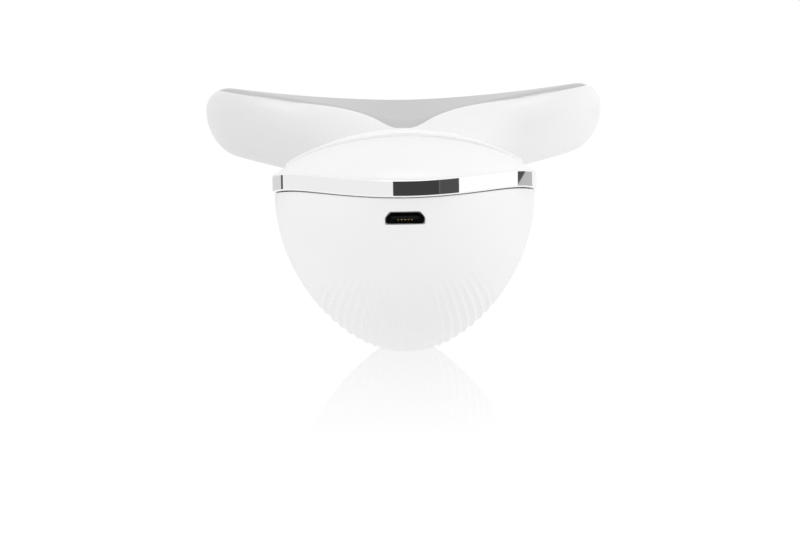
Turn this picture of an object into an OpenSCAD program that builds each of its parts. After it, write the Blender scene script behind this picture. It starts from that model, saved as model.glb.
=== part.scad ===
// Facial toning device: a T-shaped head with a contact plate on a fluted, egg-shaped handle.
// X runs across the head, -Y points to the butt of the handle, +Y to the head, Z is up.
// The handle lies on its belly, on the small flat under it, at z = 0.

/* [Handle] */
// Overall length, from the butt to the far edge of the head
total_len = 148; // [140:1:160]
// Greatest width of the handle, at the trim band
handle_w = 52; // [48:0.5:56]
// Length of the rounded butt, seen from above
nose_len = 30; // [26:1:34]
// Distance from the butt to the deepest place of the belly
belly_len = 60; // [54:1:66]
// Length of the belly's straight stretch behind that
belly_flat = 16; // [12:1:18]
// Height of the belly's rim over the table
seam_z = 34; // [32:0.5:37]
// How much the rim swells upward near the butt
seam_swell = 1.3; // [0:0.1:2]
// How much the rim falls from the butt to the neck
seam_fall = 1.5; // [0:0.1:3]
// Height of the cover's crest over the table
crest_z = 44.9; // [43:0.1:47]
// Distance from the butt to the cover's crest
crest_len = 45; // [40:1:52]
// Width of the neck
neck_w = 28; // [25:0.5:31]
// Height of the neck's upper side
neck_top_z = 42.5; // [41:0.1:44]
// Height of the neck's under side
neck_low_z = 25.4; // [24:0.1:28]
// Wall of the moulded shells
wall = 2.2; // [1.8:0.1:2.6]
// Depth of the flat that the belly rests on
foot_cut = 0.45; // [0.3:0.05:0.6]

/* [Flutes] */
// Number of grooves along the belly
flute_count = 22; // [14:2:24]
// Angle that one groove takes on the belly's section
flute_pitch = 4; // [3:0.1:4.4]
// Depth of a groove
flute_depth = 0.4; // [0.2:0.05:0.6]

/* [Trim band] */
// Height of the band
band_h = 3.2; // [2.6:0.1:4]
// How far the band stands out from the shells
band_proud = 0.4; // [0.2:0.05:0.6]
// Thickness of the band behind the shells' outer faces
band_t = 2.2; // [1.6:0.1:2.6]

/* [Control panel] */
// Thickness of the panel that lies on the cover
panel_t = 0.5; // [0.4:0.05:0.8]
// Distance from the butt to the panel's near end
panel_start = 34; // [28:1:38]
// Margin between the panel and the cover's rim
panel_margin = 1.4; // [1:0.1:3]
// Diameter of the power button
power_d = 11; // [9:0.5:12]
// Length of the level button, across the handle
level_l = 12; // [10:0.5:12.5]
// Width of the level button, along the handle
level_w = 6.5; // [5:0.5:7]
// Distance from the power button to the neck joint
power_at = 36; // [35:0.5:38]
// Distance from the power button to the level button
level_step = 16; // [15.5:0.5:17]
// How far a button travels when it is pressed
button_travel = 0.4; // [0.3:0.05:0.5]
// How far a button stands out of the panel
button_proud = 0.1; // [0.05:0.05:0.3]
// Gap around a button
button_gap = 0.15; // [0.1:0.05:0.25]

/* [Head] */
// Width of the head from tip to tip
head_w = 88.6; // [84:0.2:94]
// Depth of the wings, along the handle's axis
head_depth = 27; // [25:0.5:30]
// Distance from the neck joint to the near edge of the wings
neck_run = 17; // [15:0.5:19]
// Height of the plate's far edge in the middle
plate_far_z = 48.5; // [47:0.1:50]
// Height of the plate's near edge in the middle
plate_near_z = 45.6; // [44:0.1:47]
// Rise of the plate's near edge per millimetre outward
plate_slope = 0.175; // [0.14:0.005:0.2]
// Rise of the plate's far edge at the tips
plate_sag = 2.9; // [2:0.1:4]
// Height of the head's under side in the middle
head_low_z = 28.5; // [27:0.1:30]
// Rise of the under side per millimetre outward
low_slope = 0.266; // [0.22:0.002:0.29]
// Margin between the plate and the head's outline
plate_margin = 3.3; // [2.6:0.1:4]
// Thickness of the contact plate
plate_t = 1; // [0.8:0.1:1.4]
// Length of the plate's tongue toward the handle
tongue_len = 14.4; // [11:0.2:15.6]
// Half width of the tongue
tongue_w = 8.4; // [7:0.2:9.4]

/* [Charging port] */
// Width of the receptacle's metal mouth
usb_w = 7.5; // [7.2:0.1:7.8]
// Height of the receptacle's metal mouth
usb_h = 2.4; // [2.3:0.1:2.8]
// Length of the receptacle
usb_l = 5.6; // [5:0.1:6]
// Distance from the belly's rim down to the port's middle
usb_drop = 3.6; // [3.2:0.1:4.2]

/* [Inside] */
// Width of the main board
board_w = 28; // [25:0.5:29]
// Length of the main board
board_l = 57; // [54:1:58]
// Thickness of the boards
board_t = 1.2; // [1:0.1:1.6]
// Width of the battery
battery_w = 26; // [22:1:27]
// Length of the battery
battery_l = 36; // [32:1:37]
// Thickness of the battery
battery_t = 10; // [7:0.5:11]
// Diameter of the vibration motor
motor_d = 7; // [6:0.2:7.4]
// Length of the vibration motor's can
motor_l = 13; // [11:0.5:14]
// Thread diameter of the screws
screw_d = 2; // [1.6:0.1:2.2]

/* [Hidden] */

seg = 32;                                   // facets of small round pieces
neck_at = total_len - head_depth - neck_run;   // distance from the butt to the neck joint
head_mid = total_len - head_depth / 2;         // distance from the butt to the wings' middle line
power_u = neck_at - power_at;                  // distance from the butt to the power button
belly_rise = belly_len + belly_flat;        // where the belly rises to the neck
seam_dip = 0.9;                             // how far the rim dips at the middle of the butt
swell_at = 11;                              // where the rim is highest
swell_end = 32;                             // where the swelling has died out
butt_power = 0.62;                          // fullness of the cover's rise from the butt
dome_power = 1.5;                           // fullness of the cover's section

// ---- plain helpers --------------------------------------------------------------------------

function clamp(v, lo, hi) = min(max(v, lo), hi);
function mix(a, b, t) = a + (b - a) * t;
// soft step from 0 to 1
function ease(t) = 0.5 - 0.5 * cos(180 * clamp(t, 0, 1));
// quarter of a circle, from 0 to 1
function arch(t) = sqrt(max(0, 1 - pow(1 - clamp(t, 0, 1), 2)));
// a point of a section, moved to the model's own frame
function place(x, u, z) = [x, u - total_len / 2, z];

// ---- meshes ---------------------------------------------------------------------------------

// two triangles for each square between two rows of n points
function strip(a, b, n) = [
    for (i = [0 : n - 2]) each [[a + i, b + i, b + i + 1], [a + i, b + i + 1, a + i + 1]]
];
// the same round a closed row
function ring_strip(a, b, n) = [
    for (i = [0 : n - 1]) let (k = (i + 1) % n)
        each [[a + i, b + i, b + k], [a + i, b + k, a + k]]
];
function turned(faces) = [for (f = faces) [for (i = [len(f) - 1 : -1 : 0]) f[i]]];
function flat(rows) = [for (row = rows) each row];

// A dished shell with an open rim: outer and inner are lists of sections, rim to rim.
module dish(outer, inner, flip = false) {
    n = len(outer[0]);
    m = len(inner[0]);
    rows = len(outer);
    base = n * rows;
    last = rows - 1;
    skin = [for (j = [0 : last - 1]) each strip(j * n, (j + 1) * n, n)];
    lining = [for (j = [0 : last - 1]) each strip(base + j * m, base + (j + 1) * m, m)];
    rim_a = [for (j = [0 : last - 1]) each [
        [j * n, base + j * m, base + (j + 1) * m], [j * n, base + (j + 1) * m, (j + 1) * n]]];
    rim_b = [for (j = [0 : last - 1]) each [
        [j * n + n - 1, base + (j + 1) * m + m - 1, base + j * m + m - 1],
        [j * n + n - 1, (j + 1) * n + n - 1, base + (j + 1) * m + m - 1]]];
    front = [[for (i = [0 : n - 1]) i]];
    back = [[for (i = [n - 1 : -1 : 0]) last * n + i]];
    front_in = [[for (i = [m - 1 : -1 : 0]) base + i]];
    back_in = [[for (i = [0 : m - 1]) base + last * m + i]];
    sill = [[0, n - 1, base + m - 1], [0, base + m - 1, base]];
    head = [[last * n, base + last * m, base + last * m + m - 1],
            [last * n, base + last * m + m - 1, last * n + n - 1]];
    faces = concat(skin, turned(lining), rim_a, rim_b, front, back, front_in, back_in, sill, head);
    polyhedron(concat(flat(outer), flat(inner)), flip ? faces : turned(faces));
}

// A bar swept along open rows: every section is a closed convex loop.
module bar(sections) {
    n = len(sections[0]);
    last = len(sections) - 1;
    faces = concat(
        [for (j = [0 : last - 1]) each ring_strip(j * n, (j + 1) * n, n)],
        [[for (i = [0 : n - 1]) i]],
        [[for (i = [n - 1 : -1 : 0]) last * n + i]]
    );
    polyhedron(flat(sections), turned(faces));
}

// ---- handle: the forms that all its pieces share ----------------------------------------------

// half width of the handle at u from the butt, moved inward by inset
function plan_w(u, inset = 0) =
    let (v = u - inset, nose = nose_len - inset)
    v < nose ? (handle_w / 2 - inset) * arch(v / nose)
    : mix(handle_w / 2, neck_w / 2, ease((u - nose_len) / (neck_at - nose_len))) - inset;
// height of the belly's rim
function seam(u) =
    seam_z
    + (u < swell_at ? seam_swell - seam_dip * pow(1 - u / swell_at, 2)
       : seam_swell * (1 - ease((u - swell_at) / (swell_end - swell_at))))
    - seam_fall * ease((u - swell_end) / (neck_at - swell_end));
// depth of the belly below its rim, its outer face moved inward by inset
function belly_d(u, inset = 0) =
    let (start = band_proud + inset, v = u - start, nose = belly_len - start)
    v < nose ? (seam(u) + foot_cut - inset) * arch(v / nose)
    : seam(u) - inset - mix(-foot_cut, neck_low_z, ease((u - belly_rise) / (neck_at - belly_rise)));
// the cover's rise above the band, its outer face moved inward by inset
function dome_h(u, inset = 0) =
    let (start = band_proud + inset, v = u - start, run = crest_len - start)
    v < run ? (crest_z - seam(crest_len) - band_h - inset)
              * pow(max(0, 1 - pow(1 - max(v, 0) / run, 2)), butt_power)
    : mix(crest_z, neck_top_z, ease((u - crest_len) / (neck_at - crest_len))) - seam(u) - band_h - inset;
// height of the cover's outer face at x
function cover_z(x, u) =
    let (w = plan_w(u, band_proud))
    seam(u) + band_h + dome_h(u) * pow(max(0, 1 - pow(x / max(w, 0.01), 2)), dome_power / 2);

// stations along the handle: close together round the butt
nose_steps = 8;
body_steps = 5;
flat_end = belly_rise + 1.5;         // where the belly leaves the table
stations = concat(
    [for (i = [0 : nose_steps - 1]) nose_len * (1 - cos(90 * max(i, 0.3) / nose_steps))],
    [for (i = [0 : body_steps - 1]) mix(nose_len, flat_end, i / body_steps)],
    [for (i = [0 : body_steps]) mix(flat_end, neck_at, i / body_steps)]
);
// a station of a face that starts at start and ends at end
function station(u, start, end = neck_at) = start + u * (end - start) / neck_at;

// ---- belly ------------------------------------------------------------------------------------

flute_span = flute_count * flute_pitch / 2;
flute_steps = 3;
side_steps = 6;
rest_steps = flute_count * flute_steps;
belly_angles = concat(
    [for (i = [0 : side_steps - 1]) mix(-90, -flute_span, i / side_steps)],
    [for (i = [0 : rest_steps]) mix(-flute_span, flute_span, i / rest_steps)],
    [for (i = [1 : side_steps]) mix(flute_span, 90, i / side_steps)]
);
flute_top = 18;      // height at which the grooves have died out
flute_full = 12;     // height below which they have their full depth
flute_end = 16;      // length over which they die out before the neck

// depth of the groove at angle a
function groove(a, u, z) =
    abs(a) >= flute_span ? 0
    : let (turn = (a + flute_span) / flute_pitch, phase = max(0, turn - floor(turn + 0.001)))
      flute_depth * (1 - pow(2 * phase - 1, 2)) * ease((flute_top - z) / (flute_top - flute_full))
      * ease((flute_span - abs(a)) / (2 * flute_pitch) + 0.3)
      * ease((neck_at - 8 - u) / flute_end);
function belly_pt(s, a) =
    let (u = station(s, band_proud), w = plan_w(u, band_proud), d = belly_d(u),
         z = seam(u) - d * cos(a),
         size = norm([w * cos(a), d * sin(a)]),
         cut = groove(a, u, z),
         nx = d * sin(a) / max(size, 0.01), nz = -w * cos(a) / max(size, 0.01))
    place(w * sin(a) - nx * cut, u, max(0, z - nz * cut));
shell_end = neck_at - 5;     // where the hollow of the handle ends
lining_steps = 16;
function belly_in_pt(u, k) =
    let (a = -90 + 180 * k / lining_steps, v = station(u, band_proud + wall, shell_end),
         w = plan_w(v, band_proud + wall), d = belly_d(v, wall))
    place(w * sin(a), v, seam(v) - d * cos(a));

// height of the hollow's floor at x
function floor_z(x, u) =
    let (w = plan_w(u, band_proud + wall), d = belly_d(u, wall))
    seam(u) - d * sqrt(max(0, 1 - pow(x / w, 2)));

// Filling of the hollow that reaches a little into the wall; posts are trimmed with it.
core_in = 0.8;
module belly_core() {
    bar([for (u = stations) [for (k = [0 : lining_steps])
        let (a = -90 + 180 * k / lining_steps, v = station(u, band_proud + wall - core_in, shell_end + core_in),
             w = plan_w(v, band_proud + wall - core_in), d = belly_d(v, wall - core_in))
        place(w * sin(a), v, seam(v) - d * cos(a))]]);
}
module cover_core() {
    bar([for (u = stations) [for (k = [lining_steps : -1 : 0])
        let (a = -90 + 180 * k / lining_steps, v = station(u, band_proud + wall - core_in, shell_end + core_in),
             w = plan_w(v, band_proud + wall - core_in))
        place(w * sin(a), v, seam(v) + band_h - 0.01
              + (dome_h(v, wall - core_in) + 0.01) * pow(max(0, cos(a)), dome_power))]]);
}

post_d = 5;
hole_d = screw_d + 0.1;
board_posts = [[11, 20], [9, 66.5]];       // x and u, mirrored
fit_gap = 0.1;       // gap between pieces that are fitted into each other
frame_t = 1.3;       // thickness of the ring that lines up cover, band and belly
pillar_d = 5.8;      // the cover's pillars over the posts
function post_x(u) = plan_w(u, band_proud + wall + fit_gap) - frame_t - pillar_d / 2 - 0.3;
cover_posts = [for (u = [46, neck_at - 13]) [post_x(u), u]];
neck_post = [4.6, neck_at - 7.2];
function post_top(u) = seam(u) - 1.2;      // where the cover's pillars meet the belly's posts

module rod(d, z0, z1, fn = seg) translate([0, 0, z0]) cylinder(d = d, h = z1 - z0, $fn = fn);
module pill(l, w, z0, z1) hull() for (s = [-1, 1]) translate([s * (l - w) / 2, 0, 0]) rod(w, z0, z1);
module at(u, x = 0) translate(place(x, u, 0)) children();
module both(p) for (s = [-1, 1]) at(p[1], s * p[0]) children();
module block(x0, x1, u0, u1, z0, z1) translate(place(x0, u0, z0)) cube([x1 - x0, u1 - u0, z1 - z0]);
// flat outline, drawn as x and z, that runs along the handle
module along(u0, u1) translate(place(0, u1, 0)) rotate([90, 0, 0]) linear_extrude(u1 - u0) children();

module rear_shell() {
    color("white")
    difference() {
        union() {
            dish([for (u = stations) [for (a = belly_angles) belly_pt(u, a)]],
                 [for (u = stations) [for (k = [0 : lining_steps]) belly_in_pt(u, k)]]);
            intersection() {
                union() {
                    for (p = board_posts) both(p) rod(post_d, 5, board_top - board_t);
                    for (p = cover_posts) both(p) rod(post_d, 5, post_top(p[1]));
                    both(neck_post) rod(post_d, 10, tenon_low - fit_gap);
                    for (s = [-1, 1]) block(s * 7 - 1, s * 7 + 1, tray_at + 3, tray_at + battery_l - 3, 1, tray_z);
                }
                belly_core();
            }
        }
        along(-1, 8) polygon(usb_outline(usb_gap));
        for (p = board_posts) both(p) rod(hole_d, board_top - board_t - 9, board_top);
        for (p = cover_posts) both(p) rod(hole_d, post_top(p[1]) - 9, seam_z + 4);
        both(neck_post) rod(hole_d, tenon_low - 5, tenon_low + 1);
        block(-tenon_w / 2 - fit_gap, tenon_w / 2 + fit_gap, shell_end - 1, neck_at + 1,
              tenon_low - fit_gap, seam_z + 4);
    }
}

// ---- trim band --------------------------------------------------------------------------------

// U-shaped path round the butt: i from -last to last, 0 at the butt
path_steps = len(stations) - 1;
function path_u(i, inset, end) = i == 0 ? inset : station(stations[abs(i)], inset, end);
function path_pt(i, inset, z, end = neck_at) =
    let (u = path_u(i, inset, end), w = i == 0 ? 0 : plan_w(u, inset))
    place(i < 0 ? -w : w, u, seam(u) + z);
band_edge = 0.35;    // bevel along the band's outer edges
band_shadow = 0.3;   // gap below the band
band_relief = 0.12;  // fall of its upper side under the cover

module trim_band() {
    back = band_proud + band_t;
    profile = [[band_edge, band_shadow], [0, band_shadow + band_edge], [0, band_h - band_edge],
               [band_edge, band_h], [back, band_h - band_relief], [back, band_shadow]];
    color("silver")
    bar([for (i = [-path_steps : path_steps]) [for (p = profile) path_pt(i, p[0], p[1])]]);
}

// ---- inner frame ------------------------------------------------------------------------------

frame_lap = 1.2;     // how far it reaches into the shells

module inner_frame() {
    outer = band_proud + wall + fit_gap;
    profile = [[outer + 0.2, -frame_lap], [outer, 0], [outer, band_h], [outer + frame_t, band_h + frame_lap / 2],
               [outer + frame_t, -frame_lap]];
    color("gainsboro")
    bar([for (i = [-path_steps : path_steps])
        [for (p = profile) path_pt(i, p[0], p[1], shell_end - 0.5)]]);
}

// ---- front cover ------------------------------------------------------------------------------

cover_steps = 24;
function cover_pt(s, k) =
    let (a = -90 + 180 * k / cover_steps, u = station(s, band_proud), w = plan_w(u, band_proud))
    place(w * sin(a), u, seam(u) + band_h + dome_h(u) * pow(max(0, cos(a)), dome_power));
function cover_in_pt(u, k) =
    let (a = -90 + 180 * k / lining_steps, v = station(u, band_proud + wall, shell_end),
         w = plan_w(v, band_proud + wall))
    place(w * sin(a), v, seam(v) + band_h + dome_h(v, wall) * pow(max(0, cos(a)), dome_power));

recess_d = 4.4;      // counterbore for a screw's head
grip = 3.2;          // thickness that a cover screw holds down
key_posts = [[7, power_u + 8], [5, power_u - 7.5]];

module front_cover() {
    color("white")
    difference() {
        union() {
            dish([for (u = stations) [for (k = [0 : cover_steps]) cover_pt(u, k)]],
                 [for (u = stations) [for (k = [0 : lining_steps]) cover_in_pt(u, k)]], flip = true);
            for (p = cover_posts) both(p) rod(pillar_d, post_top(p[1]) + fit_gap, seam(p[1]) + band_h + 0.5);
            intersection() {
                union() {
                    for (p = cover_posts) both(p) rod(pillar_d, seam(p[1]) + band_h, crest_z);
                    for (p = key_posts) both(p) rod(3.4, key_board, crest_z);
                }
                cover_core();
            }
        }
        openings(button_gap);
        for (p = cover_posts) both(p) {
            rod(hole_d, post_top(p[1]) - 1, crest_z);
            rod(recess_d, post_top(p[1]) + grip, crest_z + 2);
        }
        both(key_posts[0]) rod(hole_d, key_board - 1, key_board + 4);
        block(-tenon_w / 2 - fit_gap, tenon_w / 2 + fit_gap, shell_end - 1, neck_at + 1,
              seam_z - 3, tenon_top + fit_gap);
    }
}

// ---- control panel ----------------------------------------------------------------------------

panel_end = neck_at - 4;
panel_nose = 20;     // length over which the panel's near end is rounded
panel_tail = 9;      // length over which its far end is rounded
panel_rows = 16;
panel_cols = 14;
bond = 0.1;          // adhesive under the panel
function panel_w(u) =
    (plan_w(u, band_proud) - panel_margin) * arch((u - panel_start) / panel_nose)
    * arch((panel_end - u) / panel_tail);
function panel_u(j) =
    let (t = j / panel_rows) mix(panel_start + 0.05, panel_end - 0.05, ease(t));
function panel_pt(j, k, z) =
    let (u = panel_u(j), x = panel_w(u) * sin(-90 + 180 * k / panel_cols))
    place(x, u, cover_z(x, u) + z);

// Closed solid between two grids of the same size.
module sheet(top, low) {
    n = len(top[0]);
    last = len(top) - 1;
    half = n * (last + 1);
    up = [for (j = [0 : last - 1]) each strip(j * n, (j + 1) * n, n)];
    down = [for (f = turned(up)) [for (i = f) i + half]];
    rim = concat([for (k = [0 : n - 1]) k], [for (j = [1 : last]) j * n + n - 1],
                 [for (k = [n - 2 : -1 : 0]) last * n + k], [for (j = [last - 1 : -1 : 1]) j * n]);
    edge = [for (i = [0 : len(rim) - 1]) let (a = rim[i], b = rim[(i + 1) % len(rim)])
        each [[a, b, b + half], [a, b + half, a + half]]];
    polyhedron(concat(flat(top), flat(low)), concat(up, down, edge));
}
function panel_face(z) = [for (j = [0 : panel_rows]) [for (k = [0 : panel_cols]) panel_pt(j, k, z)]];

module control_panel() {
    color("whitesmoke")
    difference() {
        sheet(panel_face(bond + panel_t), panel_face(bond));
        openings(button_gap);
    }
}

// ---- buttons and lenses -----------------------------------------------------------------------

level_at = power_u + level_step;
lens_at = mix(power_u + power_d / 2, level_at - level_w / 2, 0.5);
lens_d = 1.8;
lens_step = 4;
skin_t = bond + panel_t;         // from the cover's outer face to the panel's outer face
cover_low = cover_z(0, power_u) - wall;   // the cover's inner face over the power button
key_rim = 0.7;                   // how far a button's flange reaches under the cover
key_t = 0.8;
key_top = cover_low - 1.1;       // upper side of the flange, clear of the curved cover
key_low = key_top - key_t - 0.8; // lower end of the stem that meets the switch
level_top = key_top - 1.1;       // the same for the level button, where the cover is lower
level_low = level_top - key_t - 0.4;
key_board = key_low - button_travel - 2.1;   // upper side of the button board

// Block whose upper side follows the cover's outer face, moved up by lift.
patch_w = 10;
patch_cols = 10;
patch_rows = 14;
function patch(lift) = [for (j = [0 : patch_rows]) [for (k = [0 : patch_cols])
    let (u = mix(power_u - 8, level_at + 6, j / patch_rows),
         x = mix(-patch_w, patch_w, k / patch_cols)) place(x, u, cover_z(x, u) + lift)]];
module under_skin(lift) {
    top = patch(lift);
    sheet(top, [for (row = top) [for (p = row) [p[0], p[1], level_top - 1]]]);
}

// holes for buttons and lenses, wider than them by gap all round
module openings(gap) {
    low = key_top - 4;
    high = crest_z + 4;
    at(power_u) rod(power_d + 2 * gap, low, high);
    at(level_at) pill(level_l + 2 * gap, level_w + 2 * gap, low, high);
    for (i = [-1 : 1]) at(lens_at, i * lens_step) rod(lens_d + 0.1, low, high);
}

module power_button() {
    color("white") {
        intersection() {
            at(power_u) rod(power_d, key_top - 0.1, crest_z + 2);
            under_skin(skin_t + button_proud);
        }
        at(power_u) rod(power_d + 2 * key_rim, key_top - key_t, key_top);
        at(power_u) rod(3, key_low, key_top - key_t / 2);
    }
}

module level_button() {
    color("white") {
        intersection() {
            at(level_at) pill(level_l, level_w, level_top - 0.1, crest_z + 2);
            under_skin(skin_t + button_proud);
        }
        at(level_at) pill(level_l, level_w + 2 * key_rim, level_top - key_t, level_top);
        at(level_at) rod(3, level_low, level_top - key_t / 2);
    }
}

module indicator_lenses() {
    color("white")
    intersection() {
        for (i = [-1 : 1]) at(lens_at, i * lens_step) rod(lens_d, cover_low - 2, crest_z + 2);
        under_skin(skin_t);
    }
}

// ---- head: outline, plate outline and the two skins -------------------------------------------

// Every loop has 4 * quarter points: 0 at the middle of the near side, quarter at the right
// tip, 2 * quarter at the middle of the far edge. joint_steps points lie on half the neck joint.
quarter = 20;
joint_steps = 4;
fillet_steps = 8;
bend = joint_steps + fillet_steps;   // last point of the fillet
loop = 4 * quarter;
half_head = head_w / 2;
wing_d = head_depth / 2;
fillet_x = 28;                       // where the fillet meets the wing's near edge
joint_w = neck_w / 2 - band_proud;   // half width of the neck joint

function oval(x, a) = sqrt(max(0, 1 - pow(x / a, 4)));
function bezier(a, b, c, d, t) =
    pow(1 - t, 3) * a + 3 * pow(1 - t, 2) * t * b + 3 * (1 - t) * t * t * c + t * t * t * d;
fillet_end = [fillet_x, head_mid - wing_d * oval(fillet_x, half_head)];
fillet_pull = 9;
function tip_angle(i) =
    acos(pow(fillet_x / half_head, 2)) * (quarter - i) / (quarter - bend);
// right half of the near side, i from 0 to quarter
function near_pt(i) =
    i <= joint_steps ? [joint_w * sin(90 * i / joint_steps), neck_at]
    : i <= bend ? bezier([joint_w, neck_at], [joint_w, neck_at + fillet_pull],
                         fillet_end - [fillet_pull, 0.14 * fillet_pull], fillet_end,
                         (i - joint_steps) / fillet_steps)
    : let (a = tip_angle(i)) [half_head * sqrt(cos(a)), head_mid - wing_d * sin(a)];
function far_pt(i) =
    i <= bend ? [fillet_x * i / bend, head_mid + wing_d * oval(fillet_x * i / bend, half_head)]
    : let (a = tip_angle(i)) [half_head * sqrt(cos(a)), head_mid + wing_d * sin(a)];
// index of the point on the right half that mirrors i
function folded(i) = let (k = i % loop) k > 2 * quarter ? loop - k : k;
function side(i) = (i % loop) > 2 * quarter ? -1 : 1;
function outline_pt(i) =
    let (k = folded(i), p = k <= quarter ? near_pt(k) : far_pt(2 * quarter - k))
    [p[0] * side(i), p[1]];

// outline of the plate, moved inward by e
tongue_steps = 8;
tongue_power = 1.9;   // how square the tongue's end is
far_margin = 2.2;
function plate_x(i, e) =
    let (a = half_head - plate_margin - e, step = (tongue_w - e) / 6,
         reach = a * fillet_x / half_head)
    i <= tongue_steps ? step * i
    : i <= bend ? mix(step * tongue_steps, reach, pow((i - tongue_steps) / (bend - tongue_steps), 1.2))
    : a * sqrt(cos(tip_angle(i)));
function plate_near(i, e) =
    let (a = half_head - plate_margin - e, x = plate_x(i, e), d = wing_d - plate_margin - e)
    [x, head_mid - (i <= bend ? d * oval(x, a) : d * sin(tip_angle(i)))
        - (tongue_len + e * 0.2) * exp(-pow(x / (tongue_w - e), tongue_power)) + e * 0.2];
function plate_far(i, e) =
    let (a = half_head - plate_margin - e, x = i <= bend ? a * fillet_x / half_head * i / bend
         : a * sqrt(cos(tip_angle(i))), d = wing_d - far_margin - e)
    [x, head_mid + (i <= bend ? d * oval(x, a) : d * sin(tip_angle(i)))];
function plate_pt(i, e) =
    let (k = folded(i), p = k <= quarter ? plate_near(k, e) : plate_far(2 * quarter - k, e))
    [p[0] * side(i), p[1]];

// radius over which the upper and the lower skin round off at outline point k of the right half
near_round = 6.5;
far_round = 5.5;
belly_round = 10;
tip_round = 3.2;     // how much less the lower skin rounds off at the tips
function top_round(k) =
    k <= bend ? mix(joint_w, near_round, ease((k - joint_steps) / fillet_steps))
    : k <= quarter ? near_round : far_round;
function low_round(k) =
    k <= bend ? mix(joint_w, belly_round, ease((k - joint_steps) / fillet_steps))
    : k <= quarter ? belly_round - tip_round * (k - bend) / (quarter - bend)
    : belly_round - tip_round;

edge_pts = [for (k = [joint_steps : 2 * quarter]) outline_pt(k)];
edge_top = [for (k = [joint_steps : 2 * quarter]) top_round(k)];
edge_low = [for (k = [joint_steps : 2 * quarter]) low_round(k)];
function seg_dist(p, a, b) =
    let (d = b - a, t = clamp(((p - a) * d) / (d * d), 0, 1)) norm(p - a - t * d);
// nearness of p to the outline: 0 on it, 1 where the rounding has ended
function inward(p, rounds) =
    let (q = [abs(p[0]), p[1]])
    min(1, min([for (k = [0 : len(edge_pts) - 2])
        seg_dist(q, edge_pts[k], edge_pts[k + 1]) / ((rounds[k] + rounds[k + 1]) / 2)]));

// how far along from the neck joint (0) to the wings (1)
function wingness(p) = ease(max((p[1] - neck_at) / neck_run, (abs(p[0]) - joint_w) / 10));
valley = 4;          // softness of the plate's V in the middle
low_valley = 10;     // softness of the under side's V
function plate_plane(p) =
    let (x = abs(p[0]), near = plate_near_z + plate_slope * (norm([x, valley]) - valley),
         far = plate_far_z + plate_sag * pow(x / (half_head - 5), 2),
         v = (p[1] - (head_mid - wing_d + plate_margin)) / (head_depth - plate_margin - far_margin))
    mix(near, far, v);
function top_plane(p) = mix(neck_top_z, plate_plane(p), ease((p[1] - neck_at) / (neck_run - 4)));
function low_plane(p) =
    mix(neck_low_z, head_low_z + low_slope * (norm([p[0], low_valley]) - low_valley),
        ease((p[1] - neck_at) / neck_run));
// heights of the upper and the lower edge of the head's greatest outline
function equator(p) =
    mix(low_plane(p), top_plane(p), mix(0.54, 0.6, abs(p[0]) / half_head));
function rim_top(p) = mix(seam(neck_at) + band_h, equator(p) + 0.3, wingness(p));
function rim_low(p) = mix(seam(neck_at), equator(p) - 0.3, wingness(p));
function top_z(p) =
    let (s = inward(p, edge_top), lo = rim_top(p))
    lo + (top_plane(p) - lo) * pow(1 - pow(1 - s, 2), mix(dome_power / 2, 0.5, wingness(p)));
function low_z(p) =
    let (s = inward(p, edge_low), hi = rim_low(p))
    hi + (low_plane(p) - hi) * sqrt(1 - pow(1 - s, 2));

// a loop of the head: q goes from the outline (0) to the plate's outline moved inward by e (1)
function head_loop(q, e) = [for (i = [0 : loop - 1]) mix(outline_pt(i), plate_pt(i, e), q)];
function plate_loop(e) = [for (i = [0 : loop - 1]) plate_pt(i, e)];
// the loop laid on the upper or the lower skin, moved up by lift
function on_top(pts, lift = 0) = [for (p = pts) place(p[0], p[1], top_z(p) + lift)];
function on_low(pts, lift = 0) = [for (p = pts) place(p[0], p[1], low_z(p) + lift)];

// triangles that close a loop, from its near side to its far side, facing up
function cap(base) = [
    for (i = [0 : quarter - 1])
        let (a = base + i, c = base + 2 * quarter - i, e = base + (loop - i) % loop,
             g = base + 2 * quarter + i, tip = i == quarter - 1)
        each concat([tip ? [a, a + 1, c] : [a, a + 1, c - 1]], tip ? [] : [[a, c - 1, c]],
                    [[base + loop - i - 1, e, g]],
                    tip ? [] : [[base + loop - i - 1, g, g + 1]])
];
// Closed solid from stacked loops, the first one at the bottom.
module stack(loops) {
    last = len(loops) - 1;
    walls = [for (j = [0 : last - 1]) each ring_strip(j * loop, (j + 1) * loop, loop)];
    polyhedron(flat(loops), concat(walls, cap(0), turned(cap(last * loop))));
}

plate_gap = 0.15;    // gap round the plate
gasket_t = 0.4;
gasket_w = 1.6;
ledge_w = 1.9;       // width of the ledge that the gasket lies on
low_steps = [1, 0.72, 0.48, 0.29, 0.15, 0.05, 0];
top_steps = [0, 0.06, 0.18, 0.38, 0.65, 1];

// Tub with a rounded rim: under side, upper side round the plate, ledge and hollow.
module head_body() {
    ledge = -plate_t - gasket_t;
    loops = concat(
        [for (q = low_steps) on_low(head_loop(q, 6))],
        [for (q = top_steps) on_top(head_loop(q, -plate_gap))],
        [on_top(plate_loop(-plate_gap), ledge), on_top(plate_loop(ledge_w), ledge),
         on_low(plate_loop(ledge_w + 0.2), head_wall), on_low(plate_loop(ledge_w + 2), head_wall)]
    );
    last = len(loops) - 1;
    outer = len(low_steps) - 1;      // the loop below the greatest outline
    walls = [for (j = [0 : last - 1])
        each (j == outer
              ? strip(j * loop + joint_steps, (j + 1) * loop + joint_steps, loop - 2 * joint_steps + 1)
              : ring_strip(j * loop, (j + 1) * loop, loop))];
    joint = [concat(
        [for (i = [-joint_steps : joint_steps]) outer * loop + (i + loop) % loop],
        [for (i = [joint_steps : -1 : -joint_steps]) (outer + 1) * loop + (i + loop) % loop])];
    polyhedron(flat(loops), concat(walls, cap(0), turned(joint), turned(cap(last * loop))));
}

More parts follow.
